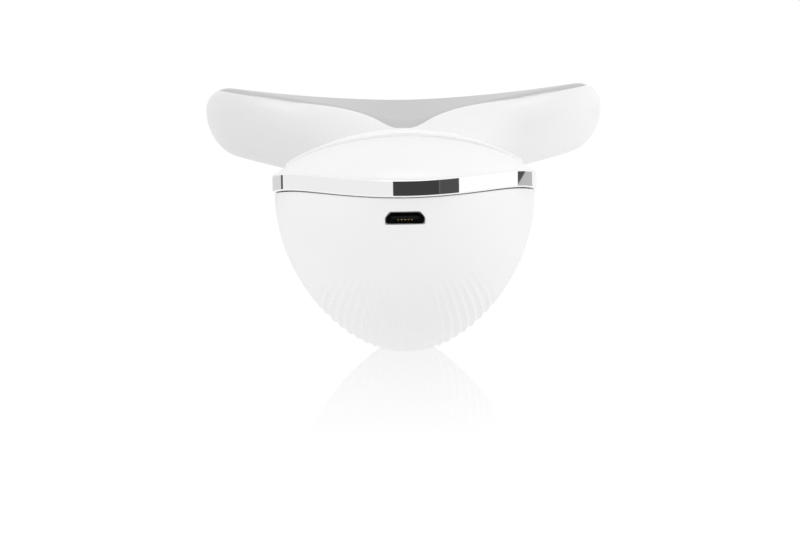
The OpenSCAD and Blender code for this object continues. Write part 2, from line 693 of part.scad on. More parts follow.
head_wall = 1.8;
tenon_w = 14;
tenon_l = 9;
tenon_low = 28.8;
tenon_top = 36.5;
wire_z = 33;         // height of the wires' way through the neck
motor_u = head_mid + 0.5;
motor_seat = head_low_z + 3.3;             // upper side of the pad under the motor's cradle
stand_z = motor_seat + 9.4;                // upper side of the posts under the head's board
stand_x = [-24, -15];
stand_u = head_mid - 0.5;

module head_shell() {
    color("white")
    difference() {
        union() {
            head_body();
            block(-tenon_w / 2, tenon_w / 2, neck_at - tenon_l, neck_at + 1, tenon_low, tenon_top);
            block(-9, 6, motor_u - 5, motor_u + 5, motor_seat - 2, motor_seat);
            for (x = stand_x) at(stand_u, x) rod(4, low_plane([x, stand_u]) + 1, stand_z);
        }
        both(neck_post) rod(hole_d, tenon_low - 1, tenon_top + 1);
        translate(place(0, neck_at - tenon_l - 1, wire_z)) rotate([-90, 0, 0]) rod(4, 0, tenon_l + 11);
        for (x = stand_x) at(stand_u, x) rod(hole_d, stand_z - 6, stand_z + 1);
    }
}

// ---- contact plate ----------------------------------------------------------------------------

module contact_plate() {
    color("silver")
    stack([on_top(plate_loop(3.6), -plate_t), on_top(plate_loop(gasket_w), -plate_t),
           on_top(plate_loop(0), -plate_t), on_top(plate_loop(0)),
           on_top(plate_loop(0.9)), on_top(plate_loop(2)), on_top(plate_loop(3.6))]);
}

module plate_gasket() {
    low = -plate_t - gasket_t + 0.07;
    high = -plate_t - 0.09;
    rows = [on_top(plate_loop(gasket_w), low), on_top(plate_loop(fit_gap), low),
            on_top(plate_loop(fit_gap), high), on_top(plate_loop(gasket_w), high)];
    color("gray")
    polyhedron(flat(rows), [for (j = [0 : 3]) each ring_strip(j * loop, (j + 1) % 4 * loop, loop)]);
}

// ---- charging port ----------------------------------------------------------------------------

usb_z = seam(0) - usb_drop;
usb_from = 1.2;      // where the receptacle's mouth lies
usb_gap = 0.15;
sheet_t = 0.3;
board_top = usb_z - usb_h / 2 - 0.05;
// section of the receptacle, wide at the bottom, grown by g
function usb_outline(g) =
    let (w = usb_w / 2 + g, h = usb_h / 2 + g)
    [for (p = [[-w, -h], [w, -h], [w, 0.1], [w - 0.9, h], [0.9 - w, h], [-w, 0.1]]) p + [0, usb_z]];

module usb_shell() {
    color("silver")
    difference() {
        along(usb_from, usb_from + usb_l) polygon(usb_outline(0));
        along(usb_from - 1, usb_from + usb_l - 0.4) polygon(usb_outline(-sheet_t));
    }
}
module usb_tongue() {
    color("black")
    block(-2.6, 2.6, usb_from + 0.6, usb_from + usb_l - 0.45, usb_z - 0.35, usb_z + 0.25);
}
module usb_contacts() {
    color("gold")
    for (i = [-2 : 2])
        block(i * 0.65 - 0.15, i * 0.65 + 0.15, usb_from + 0.8, usb_from + usb_l - 0.6,
              usb_z - 0.55, usb_z - 0.37);
}

// ---- main board -------------------------------------------------------------------------------

board_at = 13;
tab_at = 4.9;
module main_board() {
    color("green")
    difference() {
        union() {
            block(-4.2, 4.2, tab_at, board_at + 1, board_top - board_t, board_top);
            block(-board_w / 2, board_w / 2, board_at, board_at + board_l, board_top - board_t, board_top);
        }
        for (p = board_posts) both(p) rod(hole_d, board_top - 3, board_top + 1, 16);
    }
}
module controller_chip() {
    color("black") block(-3.5, 3.5, 33, 40, board_top, board_top + 0.9);
}
module boost_inductor() {
    color("dimgray") {
        block(5, 10.4, 30, 35.4, board_top, board_top + 0.6);
        at(32.7, 7.7) rod(5, board_top + 0.5, board_top + 2.8, 16);
    }
}
module chip_capacitors() {
    color("tan")
    for (p = [[-9, 31], [-9, 34], [-9, 37], [7, 40], [9.5, 40], [-3, 25], [2.6, 25]])
        block(p[0], p[0] + 1.6, p[1], p[1] + 0.9, board_top, board_top + 0.8);
}
module wire_connector() {
    color("ivory")
    difference() {
        block(-4, 4, 62.5, 68, board_top, board_top + 3.2);
        block(-3.2, 3.2, 64.5, 69, board_top + 0.8, board_top + 2.5);
    }
}

// ---- battery ----------------------------------------------------------------------------------

tray_at = 23.5;
tray_z = 14.9;
tray_t = 1.2;
module battery_tray() {
    w = battery_w / 2 + 0.2;
    far = tray_at + battery_l + 2 * tray_t;
    color("gainsboro")
    difference() {
        block(-w - 1, w + 1, tray_at, far, tray_z, tray_z + 5);
        block(-w, w, tray_at + tray_t, far - tray_t, tray_z + tray_t, tray_z + 6);
        block(-4, 4, far - 2, far + 1, tray_z + 3, tray_z + 6);
    }
}
module battery_cell() {
    color("silver")
    translate([0, 0, tray_z + tray_t])
    hull() for (x = [-1, 1], z = [0, 1])
        along(tray_at + tray_t + 0.2, tray_at + tray_t + battery_l - 0.2)
            translate([x * (battery_w / 2 - 1.5), mix(1.5, battery_t - 1.5, z)]) circle(r = 1.5, $fn = 14);
}

// thin lead with a six-sided section that runs toward the head
module lead(path, d) {
    bar([for (p = path) [for (k = [0 : 5])
        place(p[0] + d / 2 * cos(60 * k), p[1], p[2] + d / 2 * sin(60 * k))]]);
}
lead_d = 1.1;
cell_end = tray_at + tray_t + battery_l;
cell_top = tray_z + tray_t + battery_t;
function cell_lead(x) = [[x, cell_end - 0.1, cell_top - 2.5], [x, cell_end + 1.4, cell_top - 1.6],
                         [x, cell_end + 2.6, cell_top + 1], [x, cell_end + 3.4, board_top - board_t - 0.6]];
module battery_lead_plus() {
    color("red") lead(cell_lead(2), lead_d);
}
module battery_lead_minus() {
    color("black") lead(cell_lead(-2), lead_d);
}

// ---- button board -----------------------------------------------------------------------------

module button_board() {
    low = key_board - board_t;
    color("green")
    difference() {
        union() {
            block(-8.6, 8.6, power_u - 9.5, power_u + 11, low, key_board);
            block(-4.4, 4.4, power_u + 10, level_at + 4, low, key_board);
        }
        both(key_posts[0]) rod(hole_d, low - 1, key_board + 1, 16);
    }
}
module key_switches() {
    color("dimgray") {
        at(power_u) translate([-2.25, -2.25, key_board]) cube([4.5, 4.5, 1.5]);
        at(power_u) rod(2.2, key_board + 1.4, key_low - button_travel - 0.1, 16);
        at(level_at) translate([-1.6, -1.6, key_board]) cube([3.2, 3.2, 1]);
        at(level_at) rod(1.8, key_board + 0.9, level_low - button_travel - 0.1, 16);
    }
}
module indicator_leds() {
    color("ivory")
    for (i = [-1 : 1]) at(lens_at, i * lens_step) translate([-0.8, -0.4, key_board]) cube([1.6, 0.8, 0.7]);
}
// silicone ring that pushes a button back up
module return_ring(r, top) {
    rotate_extrude($fn = 20)
        polygon([[r - 0.5, key_board + 0.02], [r + 0.5, key_board + 0.02], [r + 0.3, top], [r - 0.3, top]]);
}
module power_return() {
    color("white") at(power_u) return_ring(4.2, key_top - key_t - 0.05);
}
module level_return() {
    color("white") at(level_at) return_ring(2.9, level_top - key_t - 0.05);
}
// flat cable from the main board up to the button board
module ribbon_cable() {
    low = key_board - board_t;
    start = min(51, power_u - 17);       // where it leaves the main board
    color("orange")
    bar([for (p = [[start, board_top + 0.02], [start + 4, board_top + 0.02], [start + 6, board_top + 1.5],
                   [start + 7.5, low - 1.5], [power_u - 7.5, low - 0.24], [power_u - 4.5, low - 0.24]])
        [for (q = [[-3, 0], [3, 0], [3, 0.2], [-3, 0.2]]) place(q[0], p[0], p[1] + q[1])]]);
}

// ---- inside the head --------------------------------------------------------------------------

motor_z = motor_seat + 1.4 + motor_d / 2;
motor_from = -8;
motor_to = motor_from + motor_l;
module along_x(x0, x1, d, fn = seg)
    translate(place(x0, motor_u, motor_z)) rotate([0, 90, 0]) cylinder(d = d, h = x1 - x0, $fn = fn);

module motor_cradle() {
    color("gray")
    difference() {
        block(motor_from - 0.6, motor_to - 1.4, motor_u - 4.6, motor_u + 4.6, motor_seat, motor_z + 1.2);
        along_x(motor_from - 1, motor_to, motor_d + 0.1, 24);
    }
}
module vibration_motor() {
    color("silver") {
        along_x(motor_from, motor_to, motor_d, 24);
        along_x(motor_to - 0.1, motor_to + 4.6, 1, 14);
    }
}
module motor_weight() {
    color("dimgray")
    difference() {
        along_x(motor_to + 0.8, motor_to + 4.3, 6, 24);
        along_x(motor_to, motor_to + 6, 1.06, 16);
        block(motor_to, motor_to + 6, motor_u - 4, motor_u + 4, motor_z + 0.9, motor_z + 5);
    }
}
module head_board() {
    color("green")
    difference() {
        block(stand_x[0] - 3, stand_x[1] + 3, stand_u - 4.5, stand_u + 4.5, stand_z, stand_z + 1);
        for (x = stand_x) at(stand_u, x) rod(hole_d, stand_z - 1, stand_z + 2, 16);
    }
}
spring_at = [-19.5, stand_u];
module plate_spring() {
    color("gold")
    at(spring_at[1], spring_at[0]) rod(2.6, stand_z + 1, plate_plane(spring_at) - plate_t - 0.25, 16);
}
// thin heater film under the plate
heater_cols = 6;
module heater_film() {
    rows = function(lift) [for (u = [head_mid - 6, head_mid, head_mid + 6])
        [for (k = [0 : heater_cols]) let (p = [mix(-12, 26, k / heater_cols), u])
            place(p[0], p[1], plate_plane(p) - plate_t + lift)]];
    color("orange") sheet(rows(-0.35), rows(-0.75));
}
plug_u = 67.5;       // where the leads leave their connector
function neck_way(x) = [[x, plug_u, board_top + 1.6], [x, mix(plug_u, neck_at - 14, 0.38), wire_z - 1.2],
                        [x, neck_at - 14, wire_z], [x, neck_at + 8, wire_z],
                        [x, head_mid - 10.5, wire_z + 2.5], [x * 1.2 - 1, head_mid - 7.5, wire_z + 4.5],
                        [x * 1.5 - 13, stand_u - 4.8, stand_z + 0.3]];
module neck_leads() {
    color("white") for (x = [-1.2, 0, 1.2]) lead(neck_way(x), 0.9);
}
module motor_leads() {
    color("blue") for (v = [0, 1.2])
        lead([[-11.5, stand_u - 2 + v, stand_z + 0.5], [-10.5, stand_u - 1 + v, stand_z - 1.5],
              [-8.8, motor_u - 0.6 + v, motor_z + 1.6]], 0.7);
}

// ---- screws -----------------------------------------------------------------------------------

module screw(z, l) {
    rod(3.6, z, z + 1.3, 14);
    rod(screw_d, z - l, z + 0.1, 14);
}
module cover_screws() {
    color("silver") for (p = cover_posts) both(p) screw(post_top(p[1]) + grip, grip + 8);
}
module board_screws() {
    color("silver") for (p = board_posts) both(p) screw(board_top, board_t + 6);
}
module neck_screws() {
    color("silver") both(neck_post) screw(tenon_top, tenon_top - tenon_low + 4);
}
module key_screws() {
    color("silver") both(key_posts[0]) translate([0, 0, 2 * (key_board - board_t)]) mirror([0, 0, 1])
        screw(key_board - board_t, board_t + 3);
}
module stand_screws() {
    color("silver") for (x = stand_x) at(stand_u, x) screw(stand_z + 1, 6);
}

rear_shell();
trim_band();
inner_frame();
front_cover();
control_panel();
power_button();
level_button();
indicator_lenses();
power_return();
level_return();
head_shell();
contact_plate();
plate_gasket();
heater_film();
usb_shell();
usb_tongue();
usb_contacts();
main_board();
controller_chip();
boost_inductor();
chip_capacitors();
wire_connector();
battery_tray();
battery_cell();
battery_lead_plus();
battery_lead_minus();
button_board();
key_switches();
indicator_leds();
ribbon_cable();
motor_cradle();
vibration_motor();
motor_weight();
head_board();
plate_spring();
neck_leads();
motor_leads();
cover_screws();
board_screws();
neck_screws();
key_screws();
stand_screws();
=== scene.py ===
"""Looks of a facial toning device: fluted handle, chrome trim band and T-shaped head.

The solid model is the frame. Its outer skins are replaced by finer ones that follow the
same forms, and every piece gets its own material. Lengths are millimetres up to the point
where a mesh is made; MM turns them into metres.
"""
import math

import bmesh
import bpy
import numpy as np
from mathutils import Matrix, Vector


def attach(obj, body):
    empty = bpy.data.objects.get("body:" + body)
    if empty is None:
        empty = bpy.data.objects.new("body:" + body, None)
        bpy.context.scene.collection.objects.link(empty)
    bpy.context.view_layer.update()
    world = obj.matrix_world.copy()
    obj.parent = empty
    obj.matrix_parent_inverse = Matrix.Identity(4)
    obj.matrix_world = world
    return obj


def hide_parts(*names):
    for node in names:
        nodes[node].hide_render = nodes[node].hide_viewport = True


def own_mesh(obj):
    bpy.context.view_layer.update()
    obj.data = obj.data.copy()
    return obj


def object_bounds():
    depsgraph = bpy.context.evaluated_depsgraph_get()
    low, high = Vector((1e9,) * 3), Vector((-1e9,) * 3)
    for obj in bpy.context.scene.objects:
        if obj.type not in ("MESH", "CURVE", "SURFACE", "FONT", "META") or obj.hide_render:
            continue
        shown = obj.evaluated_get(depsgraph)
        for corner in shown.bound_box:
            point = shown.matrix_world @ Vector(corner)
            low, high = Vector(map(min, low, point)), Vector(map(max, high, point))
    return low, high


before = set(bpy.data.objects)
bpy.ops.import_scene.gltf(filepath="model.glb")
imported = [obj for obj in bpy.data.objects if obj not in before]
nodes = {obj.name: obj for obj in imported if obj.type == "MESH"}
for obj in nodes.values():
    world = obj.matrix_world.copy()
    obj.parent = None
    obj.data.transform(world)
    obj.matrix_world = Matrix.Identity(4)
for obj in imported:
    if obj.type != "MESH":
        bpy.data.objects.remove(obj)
cad_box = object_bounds()

MM = 0.001
HOUSING = "housing"

# ---- driving sizes of the forms -------------------------------------------------------------
# Z is a height over the table, AT a distance from the butt, W a width, D a diameter, T a
# thickness. A ROUND is a radius, a POWER the exponent of a section's curve.

TOTAL_LEN = (cad_box[1].y - cad_box[0].y) / MM
HEAD_W = (cad_box[1].x - cad_box[0].x) / MM
HANDLE_W = 52.0
NOSE_LEN = 30.0
BELLY_LEN = 60.0
BELLY_FLAT = 16.0
SEAM_Z = 34.0
SEAM_SWELL = 1.3
SEAM_DIP = 0.9
SEAM_FALL = 1.5
SWELL_AT = 11.0
SWELL_END = 32.0
CREST_Z = 44.9
CREST_LEN = 45.0
NECK_W = 28.0
NECK_TOP_Z = 42.5
NECK_LOW_Z = 25.4
WALL = 2.2
FOOT_CUT = 0.45
FLUTE_COUNT = 22
FLUTE_PITCH = 4.0
FLUTE_DEPTH = 0.3
FLUTE_TOP = 21.0
FLUTE_FULL = 11.0
FLUTE_END = 16.0
FLUTE_STOP = 8.0                 # plain length before the neck
FLUTE_SIDE = 0.3                 # where on its fade the outermost flute starts
SPAN = FLUTE_COUNT * FLUTE_PITCH / 2     # degrees that the flutes reach to each side
BAND_H = 3.2
BAND_PROUD = 0.4
BAND_T = 2.2
BAND_SHADOW = 0.22               # the dark line between belly and band
BAND_ROOM = 0.12                 # between the band and the cover's rim
BAND_LIP = 0.2
DOME_POWER = 1.5
BUTT_POWER = 0.62
HEAD_DEPTH = 27.0
NECK_RUN = 17.0
PLATE_FAR_Z = 48.5
PLATE_NEAR_Z = 45.6
PLATE_SLOPE = 0.175
PLATE_SAG = 2.9
PLATE_MARGIN = 3.3
FAR_MARGIN = 2.2
PLATE_T = 1.0
PLATE_GAP = 0.07
GASKET_T = 0.4
LEDGE_W = 1.9
HEAD_WALL = 1.8
HEAD_LOW_Z = 28.5
LOW_SLOPE = 0.266
TONGUE_LEN = 14.4
TONGUE_W = 8.4
TONGUE_POWER = 1.9
FILLET_X = 28.0
FILLET_PULL = 9.0
NEAR_ROUND = 6.5
FAR_ROUND = 5.5
BELLY_ROUND = 10.0
TIP_ROUND = 3.2
VALLEY = 4.0
LOW_VALLEY = 10.0
PANEL_START = 34.0
PANEL_NOSE = 6.0
PANEL_TAIL = 9.0
PANEL_MARGIN = 1.4
PANEL_T = 0.5
BOND = 0.1

NECK_AT = TOTAL_LEN - HEAD_DEPTH - NECK_RUN
HEAD_MID = TOTAL_LEN - HEAD_DEPTH / 2
BELLY_RISE = BELLY_LEN + BELLY_FLAT
SHELL_END = NECK_AT - 5
JOINT_W = NECK_W / 2 - BAND_PROUD
HALF_HEAD = HEAD_W / 2
WING_D = HEAD_DEPTH / 2
PANEL_END = NECK_AT - 4


# ---- forms of the handle --------------------------------------------------------------------

def clamp(v, lo=0.0, hi=1.0):
    return min(max(v, lo), hi)


def mix(a, b, t):
    return a + (b - a) * t


def ease(t):
    return 0.5 - 0.5 * math.cos(math.pi * clamp(t))


def arch(t):
    """Quarter of a circle: 0 at t = 0, level at t = 1."""
    return math.sqrt(max(0.0, 1 - (1 - clamp(t)) ** 2))


def place(x, u, z):
    """A point of a section, in metres: x across, u from the butt, z over the table."""
    return Vector((x, u - TOTAL_LEN / 2, z)) * MM


def plan_w(u, inset):
    """Half width of the handle, seen from above."""
    v, nose = u - inset, NOSE_LEN - inset
    if v < nose:
        return (HANDLE_W / 2 - inset) * arch(v / nose)
    return mix(HANDLE_W / 2, NECK_W / 2, ease((u - NOSE_LEN) / (NECK_AT - NOSE_LEN))) - inset


def seam(u):
    """Height of the belly's rim: it swells at the butt and falls toward the neck."""
    swell = (SEAM_SWELL - SEAM_DIP * (1 - u / SWELL_AT) ** 2 if u < SWELL_AT
             else SEAM_SWELL * (1 - ease((u - SWELL_AT) / (SWELL_END - SWELL_AT))))
    return SEAM_Z + swell - SEAM_FALL * ease((u - SWELL_END) / (NECK_AT - SWELL_END))


def belly_d(u, inset=0.0):
    """Depth of the belly under its rim."""
    start = BAND_PROUD + inset
    v, nose = u - start, BELLY_LEN - start
    if v < nose:
        return (seam(u) + FOOT_CUT - inset) * arch(v / nose)
    low = mix(-FOOT_CUT, NECK_LOW_Z, ease((u - BELLY_RISE) / (NECK_AT - BELLY_RISE)))
    return seam(u) - inset - low


def dome_h(u, inset=0.0):
    """Rise of the cover over the band."""
    start = BAND_PROUD + inset
    v, run = u - start, CREST_LEN - start
    if v < run:
        rise = CREST_Z - seam(CREST_LEN) - BAND_H - inset
        return rise * max(0.0, 1 - (1 - max(v, 0.0) / run) ** 2) ** BUTT_POWER
    crest = mix(CREST_Z, NECK_TOP_Z, ease((u - CREST_LEN) / (NECK_AT - CREST_LEN)))
    return crest - seam(u) - BAND_H - inset


def cover_z(x, u):
    """Height of the cover's outer face."""
    w = max(plan_w(u, BAND_PROUD), 0.01)
    return seam(u) + BAND_H + dome_h(u) * max(0.0, 1 - (x / w) ** 2) ** (DOME_POWER / 2)


def along(t, start, end=NECK_AT):
    """Distance from the butt for t from 0 to 1, with short steps round the butt."""
    nose = 0.45
    if t < nose:
        s = NOSE_LEN * (1 - math.cos(math.pi / 2 * t / nose))
    else:
        s = mix(NOSE_LEN, NECK_AT, (t - nose) / (1 - nose))
    return start + s * (end - start) / NECK_AT


def groove(a, u, z):
    """Depth of the flutes, which fade out upwards, sideways and toward the neck."""
    if abs(a) >= SPAN:
        return 0.0
    phase = ((a + SPAN) / FLUTE_PITCH) % 1.0
    bowl = 1 - (2 * phase - 1) ** 2
    return (FLUTE_DEPTH * bowl * ease((FLUTE_TOP - z) / (FLUTE_TOP - FLUTE_FULL))
            * ease((SPAN - abs(a)) / (2 * FLUTE_PITCH) + FLUTE_SIDE)
            * ease((NECK_AT - FLUTE_STOP - u) / FLUTE_END))


def belly_point(a, u):
    """The fluted outer face at angle a in degrees, 0 at the bottom."""
    w, d = plan_w(u, BAND_PROUD), belly_d(u)
    c, s = math.cos(math.radians(a)), math.sin(math.radians(a))
    z = seam(u) - d * c
    size = max(math.hypot(w * c, d * s), 0.01)
    cut = groove(a, u, z)
    return w * s - d * s / size * cut, max(0.0, z + w * c / size * cut)


# ---- mesh helpers ---------------------------------------------------------------------------

SAME_POINT = 1e-6                # in metres


def bent_grid(bm, rows, closed=True):
    """Lays a grid over rows of points; closed joins the ends of every row."""
    cols = len(rows[0]) if closed else len(rows[0]) - 1
    lines = len(rows) - 1
    made = bmesh.ops.create_grid(bm, x_segments=cols, y_segments=lines, size=0.5)
    for v in made["verts"]:
        i = round((v.co.x + 0.5) * cols)
        j = round((v.co.y + 0.5) * lines)
        v.co = rows[j][i % cols if closed else i]


def close_up(bm):
    """Merges what meets, fills open ends and turns every face outwards."""
    bmesh.ops.remove_doubles(bm, verts=bm.verts, dist=SAME_POINT)
    bmesh.ops.dissolve_degenerate(bm, edges=bm.edges, dist=SAME_POINT)
    bmesh.ops.holes_fill(bm, edges=[e for e in bm.edges if e.is_boundary])
    bmesh.ops.recalc_face_normals(bm, faces=bm.faces)


def to_object(bm, name):
    """The mesh as an object in the scene, one metre to a unit."""
    mesh = bpy.data.meshes.new(name)
    bm.to_mesh(mesh)
    bm.free()
    obj = bpy.data.objects.new(name, mesh)
    bpy.context.scene.collection.objects.link(obj)
    return obj


def tube(name, rows):
    """A closed solid over sections that follow each other."""
    bm = bmesh.new()
    bent_grid(bm, rows)
    close_up(bm)
    return to_object(bm, name)


def dress(obj, material, replaced, body=HOUSING, angle=30):
    """Gives a piece its finish and its body; it stands for the solids in replaced."""
    mesh = obj.data
    mesh.materials.clear()
    mesh.materials.append(material)
    mesh.shade_smooth()
    mesh.set_sharp_from_angle(angle=math.radians(angle))
    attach(obj, body)
    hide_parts(*replaced)


def carve(obj, cutters, operation="DIFFERENCE"):
    """Cuts or adds other solids and removes them."""
    for cutter in cutters:
        mod = obj.modifiers.new("carve", "BOOLEAN")
        mod.operation = operation
        mod.solver = "MANIFOLD"
        mod.object = cutter
    graph = bpy.context.evaluated_depsgraph_get()
    mesh = bpy.data.meshes.new_from_object(obj.evaluated_get(graph))
    obj.modifiers.clear()
    obj.data = mesh
    for cutter in cutters:
        bpy.data.objects.remove(cutter)


def circle(x, u, d, steps=48):
    turns = [2 * math.pi * k / steps for k in range(steps)]
    return [(x + d / 2 * math.cos(a), u + d / 2 * math.sin(a)) for a in turns]


def pill(x, u, length, width, steps):
    half, r = (length - width) / 2, width / 2
    turns = [2 * math.pi * (k + 0.5) / steps for k in range(steps)]
    return [(x + math.copysign(half, math.cos(a)) + r * math.cos(a), u + r * math.sin(a))
            for a in turns]


def square(x0, x1, u0, u1):
    return [(x0, u0), (x1, u0), (x1, u1), (x0, u1)]


def prism(outline, low, high):
    """An upright solid over a closed outline of x and u."""
    return tube("cutter", [[place(x, u, z) for x, u in outline] for z in (low, high)])


def both(x, u, d, low, high):
    """An upright rod on each side of the middle."""
    return [prism(circle(s * x, u, d), low, high) for s in (-1, 1)]


BENDS = (0, 22, 45, 68, 90)      # where a small rounded edge has its points, in degrees


def bend(radius, a):
    """How far a rounded edge has come in at angle a, and how far it is below its face."""
    a = math.radians(a)
    return radius * (1 - math.cos(a)), radius * (1 - math.sin(a))


# ---- materials ------------------------------------------------------------------------------

COAT_ROUGH = 0.12
MIX_A, MIX_B, MIX_OUT = 6, 7, 2  # the colour sockets of a mix node


def blank(name):
    mat = bpy.data.materials.new(name)
    mat.use_nodes = True
    tree = mat.node_tree
    return mat, tree, tree.nodes["Principled BSDF"]


def add(tree, kind, **values):
    """A new shader node with values for its sockets; an underscore stands for a space."""
    node = tree.nodes.new("ShaderNode" + kind)
    for socket, value in values.items():
        node.inputs[socket.replace("_", " ")].default_value = value
    return node


def noise(tree, scale, detail, rough=0.5, stretch=(1, 1, 1)):
    """Noise on the object's own coordinates; scale counts spots per metre."""
    coords = add(tree, "TexCoord")
    mapping = add(tree, "Mapping", Scale=stretch)
    texture = add(tree, "TexNoise", Scale=scale, Detail=detail, Roughness=rough)
    tree.links.new(coords.outputs["Object"], mapping.inputs["Vector"])
    tree.links.new(mapping.outputs["Vector"], texture.inputs["Vector"])
    return texture.outputs["Fac"]


def spread(tree, value, low, high):
    """Maps a noise around its middle onto low to high."""
    node = add(tree, "MapRange", From_Min=0.3, From_Max=0.7, To_Min=low, To_Max=high)
    tree.links.new(value, node.inputs["Value"])
    return node.outputs["Result"]


def tint(tree, value, first, second):
    """Mixes two colours by a value from 0 to 1."""
    node = add(tree, "Mix")
    node.data_type = "RGBA"
    node.inputs[MIX_A].default_value = (*first, 1)
    node.inputs[MIX_B].default_value = (*second, 1)
    tree.links.new(value, node.inputs[0])
    return node.outputs[MIX_OUT]


def bump(tree, value, shader, height):
    node = add(tree, "Bump", Distance=height)
    tree.links.new(value, node.inputs["Height"])
    tree.links.new(node.outputs["Normal"], shader.inputs["Normal"])


def moulded(name, color, rough, coat=0.0, spots=1500, grain=0.0000012, vary=0.02, shine=0.5):
    """Moulded plastic or rubber: fine texture, slight clouds in colour and gloss."""
    mat, tree, shader = blank(name)
    clouds = spread(tree, noise(tree, 60, 2), 0, 1)
    dark = tuple(c * (1 - vary) for c in color)
    tree.links.new(tint(tree, clouds, color, dark), shader.inputs["Base Color"])
    fine = noise(tree, spots, 4)
    tree.links.new(spread(tree, fine, rough * 0.9, rough * 1.1), shader.inputs["Roughness"])
    bump(tree, fine, shader, grain)
    shader.inputs["Specular IOR Level"].default_value = shine
    shader.inputs["Coat Weight"].default_value = coat
    shader.inputs["Coat Roughness"].default_value = COAT_ROUGH
    return mat


def metal(name, color, rough, stretch=(1, 1, 1), spots=900, grain=0.000002, vary=0.04):
    """Metal with fine wear in gloss; stretch draws the marks out into brushing."""
    mat, tree, shader = blank(name)
    shader.inputs["Metallic"].default_value = 1.0
    marks = noise(tree, spots, 4, 0.6, stretch)
    dark = tuple(c * (1 - vary) for c in color)
    tree.links.new(tint(tree, spread(tree, marks, 0, 1), color, dark), shader.inputs["Base Color"])
    tree.links.new(spread(tree, marks, rough * 0.85, rough * 1.15), shader.inputs["Roughness"])
    bump(tree, marks, shader, grain)
    return mat


SHELL_WHITE = moulded("shell_white", (0.86, 0.86, 0.865), 0.38, coat=0.15)
PANEL_WHITE = moulded("panel_white", (0.875, 0.875, 0.88), 0.25, coat=0.1, spots=3000,
                      grain=0.0000003)
KEY_WHITE = moulded("key_white", (0.85, 0.85, 0.855), 0.3, coat=0.2)
INNER_WHITE = moulded("inner_white", (0.72, 0.72, 0.7), 0.5)
LENS = moulded("lens_clear", (0.75, 0.78, 0.8), 0.15, coat=0.5, grain=0.000001)
SILICONE = moulded("silicone_white", (0.8, 0.8, 0.79), 0.6, spots=900, grain=0.00001)
GASKET = moulded("gasket_grey", (0.12, 0.12, 0.125), 0.6, spots=900, grain=0.00001)
BLACK = moulded("plastic_black", (0.012, 0.012, 0.013), 0.4, spots=1200, grain=0.000006)
PORT_BLACK = moulded("port_black", (0.006, 0.006, 0.006), 0.6, spots=1200, grain=0.000006,
                     shine=0.1)
# painted shade: a dark grey for the receptacle's inner faces, where the steel lies in shadow
PORT_PAINTED_SHADE = moulded("port_painted_shade", (0.035, 0.035, 0.035), 0.6, spots=1200, grain=0.000006,
                      shine=0.1)
FERRITE = moulded("ferrite_grey", (0.07, 0.07, 0.072), 0.7, spots=2500, grain=0.00003, vary=0.2)
CERAMIC = moulded("ceramic_tan", (0.42, 0.29, 0.16), 0.5, spots=2500, vary=0.15)
FILM = moulded("film_amber", (0.6, 0.22, 0.02), 0.25, spots=600, vary=0.1)
BOARD = moulded("board_green", (0.012, 0.1, 0.04), 0.3, coat=0.3, spots=700, grain=0.00001,
                vary=0.25)
LEAD_RED = moulded("lead_red", (0.45, 0.01, 0.01), 0.4, spots=900)
LEAD_BLACK = moulded("lead_black", (0.02, 0.02, 0.02), 0.4, spots=900)
LEAD_WHITE = moulded("lead_white", (0.75, 0.75, 0.72), 0.4, spots=900)
LEAD_BLUE = moulded("lead_blue", (0.02, 0.05, 0.35), 0.4, spots=900)
CHROME = metal("band_chrome", (0.965, 0.965, 0.97), 0.03, spots=300, grain=0.0, vary=0.01)
PLATE_METAL = metal("plate_metal", (0.55, 0.55, 0.555), 0.38, stretch=(1, 14, 14), spots=500)
STEEL = metal("steel", (0.6, 0.6, 0.61), 0.25, stretch=(1, 8, 1))
GOLD = metal("contact_gold", (0.85, 0.6, 0.25), 0.2)
FOIL = metal("cell_foil", (0.7, 0.71, 0.72), 0.3, spots=400, grain=0.00002, vary=0.08)
IRON = metal("weight_iron", (0.3, 0.3, 0.31), 0.5, spots=1500, grain=0.00001, vary=0.2)


# ---- shells of the handle -------------------------------------------------------------------

ROWS = 150                       # sections from the butt to the neck
PER_FLUTE = 10
SIDE_COLS = 20
LINING_COLS = 36
LINING = [math.radians(90 - 180 * k / LINING_COLS) for k in range(LINING_COLS + 1)]
COVER_COLS = 96
CORE_ROWS = 60
BELLY_LIP = 0.12                 # rounding of the belly's rim
COVER_LIP = 0.05                 # the same for the cover
BITE = 0.8                       # how deep a post goes into the wall it stands on
FIT_GAP = 0.1
FRAME_T = 1.3
FRAME_LOW = 1.2                  # how far the inner frame goes down into the belly
PILLAR_D = 5.8                   # posts of the cover
POST_D = 5.0                     # posts of the belly
POST_FOOT = 4.0
POST_HOLE = 9.0
POST_ROOM = 0.3                  # between a post and the inner frame
NECK_FOOT = 10.0
SCREW_HOLE = 2.1
SCREW_HEAD = 4.4                 # recess for a screw's head
SCREW_SHELF = 3.2                # height of the cover's post under that recess
COVER_POSTS = [(plan_w(u, BAND_PROUD + WALL + FIT_GAP) - FRAME_T - PILLAR_D / 2 - POST_ROOM, u)
               for u in (46.0, NECK_AT - 13)]
BOARD_POSTS = [(11.0, 20.0), (9.0, 66.5)]
NECK_POST = (4.6, NECK_AT - 7.2)
TENON_W, TENON_LOW, TENON_TOP, TENON_L = 14.0, 28.8, 36.5, 9.0
USB_Z = SEAM_Z + SEAM_SWELL - SEAM_DIP - 3.6
BOARD_TOP = USB_Z - 1.25
BOARD_T = 1.2
BOARD_HOLE = 10.2
USB_LOW = 0.1                    # the receptacle's shell lies on the board
USB_HALF_W, USB_HALF_H = 3.75, 1.16
USB_CORNER, USB_BEVEL, USB_SIDE = 0.35, 0.9, 0.1
USB_STEPS = 5                    # steps of a rounded corner
TRAY_Z = 14.9
RAIL_X, RAIL_HALF = 7, 1         # rails under the battery's tray
RAIL_FROM, RAIL_TO = 26.5, 56.5


